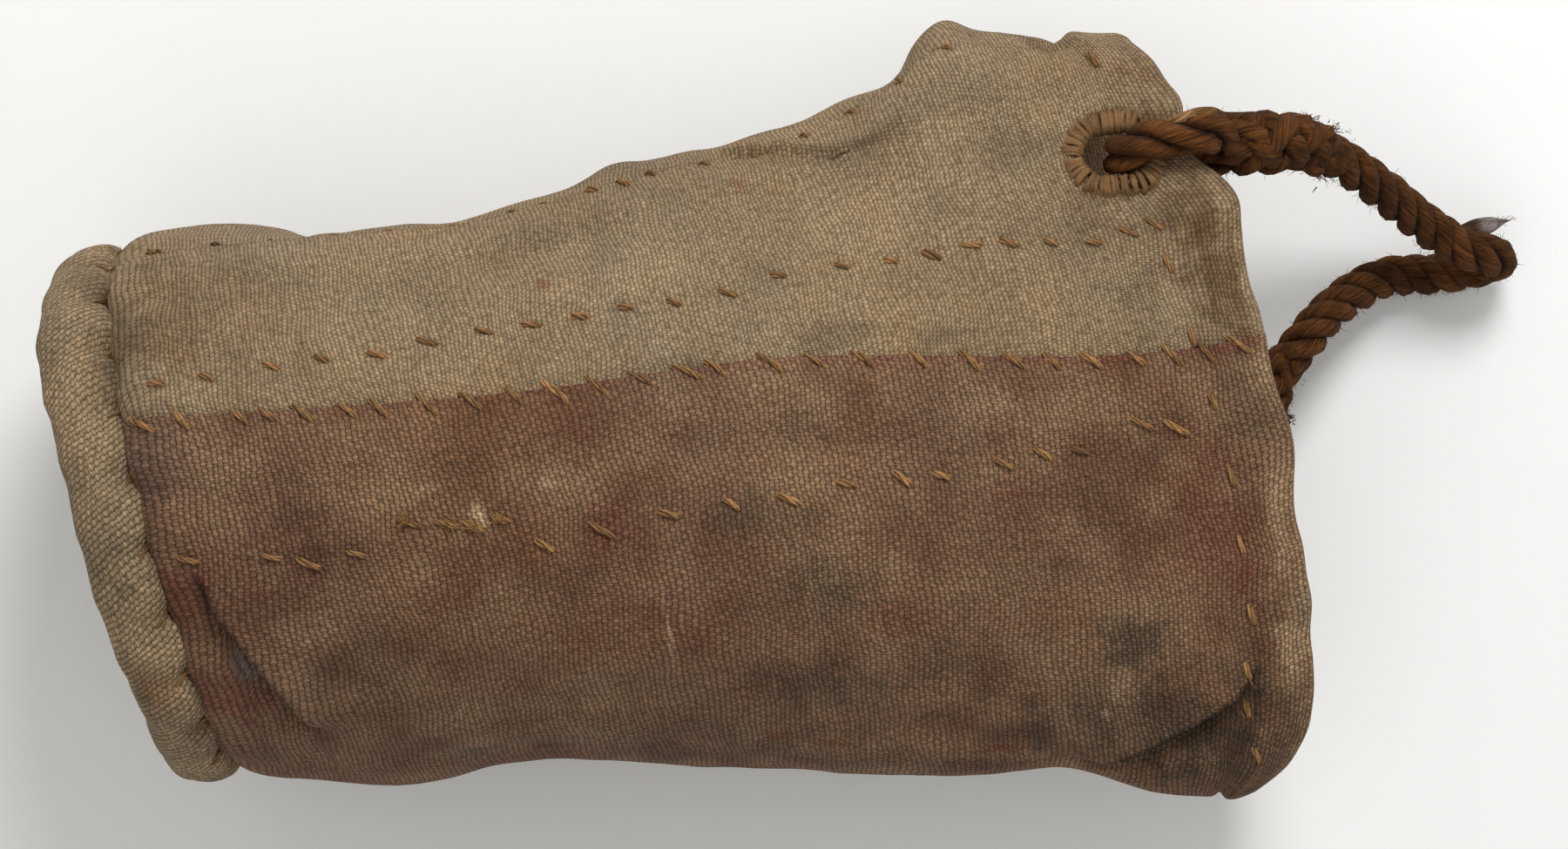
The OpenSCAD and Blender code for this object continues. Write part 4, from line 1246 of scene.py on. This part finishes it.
        skein = Skein()
        weights = np.array([len(p) for p, _ in paths], float)
        for path, r in paths:
            d, u, w = carried_frames(path, (0.1, 0.2, 0.97))
            many = int(rope.fibres * len(path) / weights.sum())
            k = rng.integers(1, len(path) - 1, many)
            a = rng.uniform(0, 2 * math.pi, many)
            out = spun(u[k], w[k], a)
            lean = d[k] * rng.uniform(-1.2, 1.2, many)[:, None]
            fray(skein, path[k] + out * (r * 0.93), unit(out * 0.6 + lean), rng, (0.6, 1.9), 0.08, dye * 1.5)
        fibres = finish_piece(skein.make("becket_fibres"), hemp, "becket", "rope")
        pieces.append(fibres)
        return {"FINISHED"}


class BAG_OT_panels(bpy.types.Operator):
    """Lofts the three canvas panels, with their laps, folds, puckers and the hem's turned edge."""

    bl_idname = "bag.panels"
    bl_label = "Canvas panels"

    def execute(self, context):
        cloth = context.scene.bag_cloth
        rows_of_stitches = stitch_rows(np.random.default_rng(5))
        lie = Drape(rows_of_stitches)
        MADE["rows"], MADE["lie"], MADE["skins"] = rows_of_stitches, lie, []
        layer = cloth.thickness / MM + 0.35
        nose = 1.8
        for name, node, slot, start, end, turn, cols, colour in (
            ("tan_canvas", "tan_panel", "canvas_tan", side_seam, main_seam, 0, 66, cloth.tan),
            ("stained_canvas", "red_panel", "canvas_red", main_seam, under_seam, 0, 176, cloth.stained),
            ("back_canvas", "back_panel", "canvas_tan", under_seam, side_seam, 360, 150, cloth.tan),
        ):
            rows = 226
            share = np.linspace(0, 1, rows)[:, None] ** 1.05
            across = np.linspace(0, 1, cols)[None, :] * np.ones((rows, 1))
            v = share * np.ones((1, cols))
            for _ in range(3):
                t = start(v) + (end(v) + turn + LAP - start(v)) * across
                v = share * (1 - nose / (edge_x(t) - TUBE_X))
            into = t - start(v)
            lift = layer * (1 - ease((into - LAP) / LAP_RAMP))
            points, out, along = lie.skin(v, t, lift)
            angles = np.linspace(0, math.pi, 10)[1:]
            turned = [
                points[-1] + along[-1] * nose * math.sin(a) - out[-1] * nose * (1 - math.cos(a))
                for a in angles
            ]
            full = np.concatenate([points, np.array(turned)], 0)
            full[..., 2] = np.maximum(full[..., 2], CLOTH_FLOOR)
            tail = len(angles)
            v_all = np.concatenate([v, np.repeat(v[-1:], tail, 0)], 0)
            t_all = np.concatenate([t, np.repeat(t[-1:], tail, 0)], 0)
            run = np.concatenate([v * TUBE_LEN, v[-1:] * TUBE_LEN + nose * angles[:, None]], 0)
            girth = girth_of(full)
            dye, tops = dyed(v_all, t_all, colour)
            if name == "stained_canvas":
                band = ease((2.6 - girth + 1.5 * cloud(full, 7, 35)) / 2.0)
                band = band * (0.3 + 0.6 * ease((v_all - 0.45) / 0.1))
                dye = dye + (SHADES["madder"] - dye) * np.clip(band, 0, 1)[..., None]
            rub = bell((1 - v_all) * TUBE_LEN / 5) * np.clip(0.3 + 0.7 * cloud(full, 12, 36), 0, 1)
            tops = np.clip(tops + 0.4 * rub, 0, 1)
            obj = cloth_grid(name, full, np.stack([run, girth], -1) * MM, dye, tops)
            outward = np.concatenate([out, np.array([
                out[-1] * math.cos(a) + along[-1] * math.sin(a) for a in angles])], 0)
            face_outward(obj, outward)
            MADE["skins"].append(bvh_of(obj))
            if node == "tan_panel":
                cut_eyelet(obj, eyelet_frame(*FRONT_EYELET))
            if node == "back_panel":
                cut_eyelet(obj, eyelet_frame(*REAR_EYELET))
            thicken(obj, cloth.thickness)
            canvas = coarse_canvas(cloth) if node == "red_panel" else panel_canvas(cloth)
            finish_piece(obj, canvas, "bag", slot, node)
        return {"FINISHED"}


def bvh_of(obj):
    """Search tree of a sheet's outer face, in millimetres."""
    mesh = obj.data
    points = [Vector(p) for p in points_of(mesh).tolist()]
    return BVHTree.FromPolygons(points, [tuple(p.vertices) for p in mesh.polygons])


def seat_on(trees, point, out):
    """Outermost point of the cloth below a point, looking inward, or the point itself where there is none."""
    origin = Vector((point + out * 9).tolist())
    way = Vector((-out).tolist())
    best = None
    for tree in trees:
        hit, _, _, gap = tree.ray_cast(origin, way, 30)
        if hit is not None and (best is None or gap < best[1]):
            best = (np.array(hit), gap)
    return best[0] if best else np.array(point)


class BAG_OT_lining(bpy.types.Operator):
    """Lays the strip inside the main seam and the hem turned in round the mouth."""

    bl_idname = "bag.lining"
    bl_label = "Seam strip and hem"

    def execute(self, context):
        cloth = context.scene.bag_cloth
        canvas = panel_canvas(cloth)
        lie = MADE["lie"]
        depth = -(cloth.thickness / MM + 0.5)

        share = np.linspace(0.06, 0.915, 150)[:, None]
        across = np.linspace(0, 1, 30)[None, :]
        v = share * np.ones((1, 30))
        low, high = 63.0 - 2.5 * v, 103.0 - 6 * v
        t = low + (high - low) * across
        self.sheet(
            "lining_strip", "seam_strip", v, t, depth, lie, cloth, canvas, "stretched", "stained_canvas")

        t = np.linspace(0, 360, 301)[None, :] * np.ones((20, 1))
        back = np.linspace(HEM_W, 2.1, 20)[:, None] * np.ones((1, 301))
        v = back_v(t, back)
        self.sheet("hem_tabling", "mouth_tabling", v, t, depth, lie, cloth, canvas, "folded", "tan_canvas")
        return {"FINISHED"}

    def sheet(self, name, node, v, t, depth, lie, cloth, canvas, held, on):
        points, out, _ = lie.skin(v, t, depth)
        closed = node == "mouth_tabling"
        if closed:
            points[:, -1] = points[:, 0]
        run = v * TUBE_LEN
        girth = girth_of(points)
        dye = mottle(points, np.array(cloth.lining)) * 0.9
        obj = cloth_grid(name, points, np.stack([run, girth], -1) * MM, dye, 0.2 + 0.1 * cloud(points, 9, 43))
        face_outward(obj, out)
        if closed:
            merge_close(obj)
            cut_eyelet(obj, eyelet_frame(*FRONT_EYELET))
            cut_eyelet(obj, eyelet_frame(*REAR_EYELET))
        thicken(obj, cloth.thickness)
        finish_piece(obj, canvas, "bag", "canvas_lining", node)


class BAG_OT_base(bpy.types.Operator):
    """Makes the round base, the roll of canvas round it and the rope inside the roll."""

    bl_idname = "bag.base"
    bl_label = "Base and rolled rim"

    def execute(self, context):
        cloth, rope = context.scene.bag_cloth, context.scene.bag_rope
        canvas = coarse_canvas(cloth)

        cells = 96
        a, b = np.meshgrid(np.linspace(-1, 1, cells), np.linspace(-1, 1, cells))
        disc_y = a * np.sqrt(1 - b * b / 2)
        disc_z = b * np.sqrt(1 - a * a / 2)
        reach = 53.0
        r = reach * np.hypot(disc_y, disc_z)
        y, z = BASE_Y + reach * disc_y, BASE_Z + reach * disc_z
        flat = np.stack([np.full_like(y, -HALF_LEN), y, z], -1)
        angle = np.degrees(np.arctan2(disc_z, disc_y))
        sink = 0.5 + 0.7 * (1 + cloud(flat, 34, 81)) + 0.35 * (1 + cloud(flat, 12, 82))
        sink = sink + 0.1 * cloud(flat, 4, 83) + 2.6 * ease((r - 44) / 9)
        sink = sink + 0.5 * ease((r - 36) / 14) * (1 + np.sin(np.radians(angle * RIM_STITCHES)))
        flat[..., 0] += sink
        uv = np.stack([disc_y, disc_z], -1) * reach * MM
        worn = 0.2 + 0.15 * cloud(flat, 12, 44)
        obj = cloth_grid("base_canvas", flat, uv, mottle(flat, np.array(cloth.tan) * 0.85), worn)
        face_outward(obj, np.broadcast_to(np.array([-1.0, 0, 0]), flat.shape))
        thicken(obj, cloth.thickness)
        finish_piece(obj, panel_canvas(cloth), "bag", "canvas_tan", "base_disc")

        bpy.ops.object.select_all(action="DESELECT")
        bpy.ops.mesh.primitive_torus_add(
            major_segments=300, minor_segments=56, major_radius=RIM_R * MM, minor_radius=RIM_D / 2 * MM,
            generate_uvs=True)
        roll = context.active_object
        roll.name = "rim_roll"
        mesh = roll.data
        p = points_of(mesh)
        theta = np.arctan2(p[:, 1], p[:, 0])
        phi = np.arctan2(p[:, 2], np.hypot(p[:, 0], p[:, 1]) - RIM_R)
        t = np.degrees(theta)

        def around_rim(size):
            """Points of the roll at a distance from its middle line."""
            far = RIM_R + size * np.cos(phi)
            return np.stack(
                [RIM_X + size * np.sin(phi), BASE_Y + far * np.cos(theta), BASE_Z + far * np.sin(theta)], -1)

        plain = around_rim(RIM_D / 2)
        girth = RIM_D / 2 - 0.25 + 0.45 * cloud(plain, 24, 84) + 0.35 * cloud(plain, 10, 85)
        girth = girth + 0.12 * cloud(plain, 4, 86)
        toward_tube = (1 + np.sin(phi)) / 2
        girth = girth + 1.3 * bell((np.degrees(phi) - 47) / 26)
        for k in range(RIM_STITCHES):
            gap = wrap(t - 360 * (k + 0.5) / RIM_STITCHES)
            girth = girth - 1.9 * bell(gap / 2.6) * toward_tube**1.5 - 0.5 * bell(gap / 5.0)
        slant = np.sin(np.radians(t * 46) + 2.2 * phi + 2.0 * cloud(plain, 16, 87))
        girth = girth + 0.16 * slant * (0.4 + 0.6 * toward_tube)
        edge = wrap(np.degrees(phi) - 62 - 9 * cloud(plain, 18, 88))
        girth = girth + 0.7 * ease((edge + 5) / 4) * ease((40 - edge) / 38)
        girth = np.minimum(girth, RIM_D / 2 + 0.15 + 1.7 * bell((np.degrees(phi) - 47) / 30))
        outer = bell((np.degrees(phi) + 70) / 50)
        girth = girth + outer * (2.9 * bell_t(t - 48, 26) - 1.6 * bell_t(t - 135, 18))
        done = around_rim(girth)
        done[:, 2] = np.maximum(done[:, 2], 0.05)
        mesh.vertices.foreach_set("co", (done * MM).astype(np.float32).ravel())
        self.roll_uv(mesh)
        dye = mottle(plain, np.array(cloth.tan) * 0.7)
        darkening = np.clip(0.25 + 0.45 * cloud(plain, 22, 89) + 0.3 * cloud(plain, 7, 90), 0, 0.6)
        dye = dye + (SHADES["ash"] * 0.75 - dye) * darkening[:, None]
        spot = np.exp(-((plain - np.array([-130.0, -14.0, 118.0])) ** 2).sum(-1) / 30)
        dye = dye + (SHADES["rust"] * 0.7 - dye) * (0.9 * spot)[:, None]
        # Painted shade on the side of the roll that faces into the groove against the tube.
        dye = dye * (1 - 0.35 * toward_tube**4)[:, None]
        paint(mesh, "dye", dye)
        wear(mesh, np.clip(0.2 + 0.2 * cloud(plain, 15, 45) + 0.15 * cloud(plain, 5, 46), 0, 1))
        mesh.update()
        ways = np.stack([np.sin(phi), np.cos(phi) * np.cos(theta), np.cos(phi) * np.sin(theta)], -1)
        face_outward(roll, ways)
        MADE["skins"].append(bvh_of(roll))
        finish_piece(roll, canvas, "bag", "canvas_tan", "base_rim")

        a = np.linspace(0, 2 * math.pi, 361)
        ring = np.stack([np.full_like(a, RIM_X), BASE_Y + RIM_R * np.cos(a), BASE_Z + RIM_R * np.sin(a)], -1)
        skein = Skein()
        laid_rope(skein, ring, 5.2, 5.2, 2 * math.pi * RIM_R / 14, np.array(rope.colour) * 1.6, (1, 0, 0))
        finish_piece(skein.make("rim_rope"), tarred_hemp(), "bag", "rope_core", "rim_core")
        return {"FINISHED"}

    def roll_uv(self, mesh):
        """UV map of the roll in metres, run and girth, taken from the torus's own even map."""
        layer = mesh.uv_layers.active
        layer.name = "weave"
        uv = np.empty(len(mesh.loops) * 2, np.float32)
        layer.data.foreach_get("uv", uv)
        uv = uv.reshape(-1, 2)
        run = uv[:, 0] * 2 * math.pi * RIM_R * MM
        girth = uv[:, 1] * math.pi * RIM_D * MM
        slanted = np.stack([run * 0.92 + girth * 0.39, girth * 0.92 - run * 0.39], -1)
        layer.data.foreach_set("uv", slanted.astype(np.float32).ravel())


class BAG_OT_eyelets(bpy.types.Operator):
    """Works the two eyelets: a grommet ring under turns of twine."""

    bl_idname = "bag.eyelets"
    bl_label = "Worked eyelets"

    def execute(self, context):
        twine = context.scene.bag_twine
        yarn = worked_twine()
        dye = np.array(twine.eyelet)
        rng = np.random.default_rng(31)
        for name, place in (("front", FRONT_EYELET), ("rear", REAR_EYELET)):
            along, across, out, middle = eyelet_frame(*place)
            runs = np.linspace(0, EYELET_GIRTH, 97)[:-1]
            ring = []
            for q in np.append(runs, runs[0]):
                spot, _ = eyelet_line(q)
                ring.append(middle + spot[0] * along + spot[1] * across)
            skein = Skein()
            laid_rope(skein, np.array(ring), GROMMET_D / 2, GROMMET_D / 2, EYELET_GIRTH / 9, dye * 0.9, out)
            finish_piece(skein.make(name + "_eyelet_ring"), yarn, "bag", "eyelet_twine", name + "_grommet")

            skein = Skein()
            for k in range(EYELET_TURNS):
                q = (k + 0.5) * EYELET_GIRTH / EYELET_TURNS + rng.uniform(-0.25, 0.25)
                spot, way = eyelet_line(q % EYELET_GIRTH)
                turn = np.linspace(0, 2 * math.pi, 15)[:-1]
                size = GROMMET_D / 2 + 0.7 + rng.uniform(-0.3, 0.3)
                slip = np.array([-way[1], way[0]]) * rng.uniform(-0.8, 0.8)
                wide = np.where(np.cos(turn) > 0, 1.28, 0.95)
                line = []
                for a, stretch_out in zip(turn, wide):
                    flat = spot + way * size * stretch_out * math.cos(a) + slip * math.sin(a)
                    line.append(middle + flat[0] * along + flat[1] * across + out * size * math.sin(a))
                line.append(line[0])
                shade = dye * rng.uniform(0.85, 1.15)
                thick = 0.66 + rng.uniform(-0.1, 0.1)
                skein.tube(np.array(line), thick, 8, shade, 4, 0.1, 0.9, (0.2, 0.4, 0.9))
            spots = rng.uniform(0, EYELET_GIRTH, EYELET_FUZZ)
            roots, ways = [], []
            for q in spots:
                spot, way = eyelet_line(q)
                flat = spot + way * 2.2
                roots.append(middle + flat[0] * along + flat[1] * across + out * 0.8)
                ways.append(unit(way[0] * along + way[1] * across + 0.5 * out + 0.5 * rng.normal(size=3)))
            fray(skein, roots, ways, rng, (0.8, 2.4), 0.1, dye * 1.3)
            worked = skein.make(name + "_eyelet_turns")
            finish_piece(worked, yarn, "bag", "eyelet_twine", name + "_eyelet_twine")
        return {"FINISHED"}


def stitch_line(trees, ideal, outs, rise, sink):
    """Route of a stitch over the cloth: down at both ends, raised in its middle."""
    n = len(ideal)
    s = np.linspace(0, 1, n)
    arch = np.minimum(1, 2.6 * np.sin(math.pi * s))
    seats = np.array([seat_on(trees, p, o) for p, o in zip(ideal, outs)])
    return smoothed(seats + outs * (-sink + (sink + rise) * arch)[:, None], 1)


def sew(skein, line, thick, dye, rng, ends):
    """Three yarns of twine twisted along a line, with a few broken fibres at its ends."""
    line = evenly(line, 0.5)
    d, u, w = carried_frames(line, (0.2, 0.35, 0.91))
    run = run_of(line)
    shade = dye * rng.uniform(0.8, 1.35)
    slow = rng.uniform(7, 12)
    for j in range(3):
        turn = 2 * math.pi * (run / slow + j / 3 + rng.uniform(0, 0.12))
        spread = 0.27 * thick * rng.uniform(0.85, 1.2)
        yarn = line + spun(u, w, turn) * spread
        ends_thin = 0.55 + 0.45 * np.sin(math.pi * np.linspace(0.08, 0.92, len(yarn)))
        skein.tube(yarn, 0.25 * thick * ends_thin * rng.uniform(0.8, 1.15), 6, shade * rng.uniform(0.65, 1.2))
    for end, way in ((line[1], -d[0]), (line[-2], d[-1])):
        many = int(rng.integers(0, ends + 1))
        if many:
            roots = np.repeat(end[None], many, 0) + rng.normal(size=(many, 3)) * 0.3
            ways = unit(way * 0.8 + 0.5 * u[len(u) // 2] + 0.7 * rng.normal(size=(many, 3)))
            fray(skein, roots, ways, rng, (1.0, 2.8), 0.12, dye * 1.2)


class BAG_OT_stitches(bpy.types.Operator):
    """Sews every row of stitches through the cloth that has been laid."""

    bl_idname = "bag.stitches"
    bl_label = "Twine stitches"

    def execute(self, context):
        twine = context.scene.bag_twine
        yarn = sewing_twine()
        dye = np.array(twine.colour)
        thick = twine.thickness / MM
        trees = MADE["skins"]
        rng = np.random.default_rng(17)
        for name, node, length, lean, places in MADE["rows"]:
            skein = Skein()
            for v, t in places:
                size = length * rng.uniform(0.8, 1.25)
                angle = math.radians(lean + rng.uniform(-14, 14))
                scale = mm_per_degree(v, t)
                s = np.linspace(-0.5, 0.5, 9)
                vs = v + s * size * math.cos(angle) / TUBE_LEN
                ts = t + s * size * math.sin(angle) / scale
                ideal = wall(vs, ts, 0)
                outs = np.array([wall_frame(float(a), float(b), 0)[2] for a, b in zip(vs, ts)])
                line = stitch_line(trees, ideal, outs, 0.42 * thick, 0.8)
                tone = 0.72 if node == "side_seam_stitches" else 1.0
                sew(skein, line, thick * rng.uniform(0.85, 1.15), dye * tone, rng, 3)
                if node == "lower_row_stitches" and 0.2 < v < 0.31:
                    roots = line[4] + rng.normal(size=(22, 3)) * 0.6
                    ways = unit(outs[4] * 0.5 + rng.normal(size=(22, 3)))
                    fray(skein, roots, ways, rng, (1.2, 3.2), 0.2, dye * 1.2)
            finish_piece(skein.make(name), yarn, "bag", "twine", node)

        skein = Skein()
        reach = RIM_D / 2
        for k in range(RIM_STITCHES):
            t = 360 * (k + 0.5) / RIM_STITCHES
            c, s = math.cos(math.radians(t)), math.sin(math.radians(t))
            out = np.array([0.0, c, s])
            lean = rng.uniform(1.0, 3.0)
            ideal = []
            turns = np.radians(np.linspace(t + lean, t - lean, 9))
            for phi, turn in zip(np.radians(np.linspace(26, 76, 9)), turns):
                r = RIM_R + reach * math.cos(phi)
                x = RIM_X + reach * math.sin(phi)
                ideal.append((x, BASE_Y + r * math.cos(turn), BASE_Z + r * math.sin(turn)))
            rise = thick * rng.uniform(-0.3, 0.4)
            line = stitch_line(trees, np.array(ideal), np.repeat(out[None], 9, 0), rise, 0.8)
            line[:, 2] = np.maximum(line[:, 2], 1.3)
            sew(skein, line, thick * rng.uniform(0.65, 0.9), dye * 0.6, rng, 4)
        finish_piece(skein.make("rim_twine"), yarn, "bag", "twine", "rim_stitches")
        return {"FINISHED"}


class BAG_PT_panel(bpy.types.Panel):
    """Lists the bag's sizes, colours and operators."""

    bl_idname = "BAG_PT_panel"
    bl_label = "Canvas bag"
    bl_space_type = "VIEW_3D"
    bl_region_type = "UI"
    bl_category = "Canvas bag"

    def draw(self, context):
        layout = self.layout
        for group in GROUPS:
            box = layout.box()
            settings = getattr(context.scene, group)
            for key in settings.bl_rna.properties.keys():
                if key not in ("rna_type", "name"):
                    box.prop(settings, key)
        for operator in OPERATORS:
            layout.operator(operator.bl_idname)


GROUPS = {"bag_cloth": BagCloth, "bag_twine": BagTwine, "bag_rope": BagRope, "bag_stage": BagStage}
OPERATORS = (
    BAG_OT_stage, BAG_OT_becket, BAG_OT_panels, BAG_OT_lining, BAG_OT_base, BAG_OT_eyelets, BAG_OT_stitches,
)
CLASSES = (*GROUPS.values(), *OPERATORS, BAG_PT_panel)


def register():
    for cls in CLASSES:
        bpy.utils.register_class(cls)
    for name, group in GROUPS.items():
        setattr(bpy.types.Scene, name, bpy.props.PointerProperty(type=group))


def unregister():
    for name in GROUPS:
        delattr(bpy.types.Scene, name)
    for cls in reversed(CLASSES):
        bpy.utils.unregister_class(cls)


def main():
    register()
    bpy.ops.bag.stage()
    bpy.ops.bag.becket()
    bpy.ops.bag.panels()
    bpy.ops.bag.lining()
    bpy.ops.bag.base()
    bpy.ops.bag.eyelets()
    bpy.ops.bag.stitches()


if __name__ == "__main__":
    main()
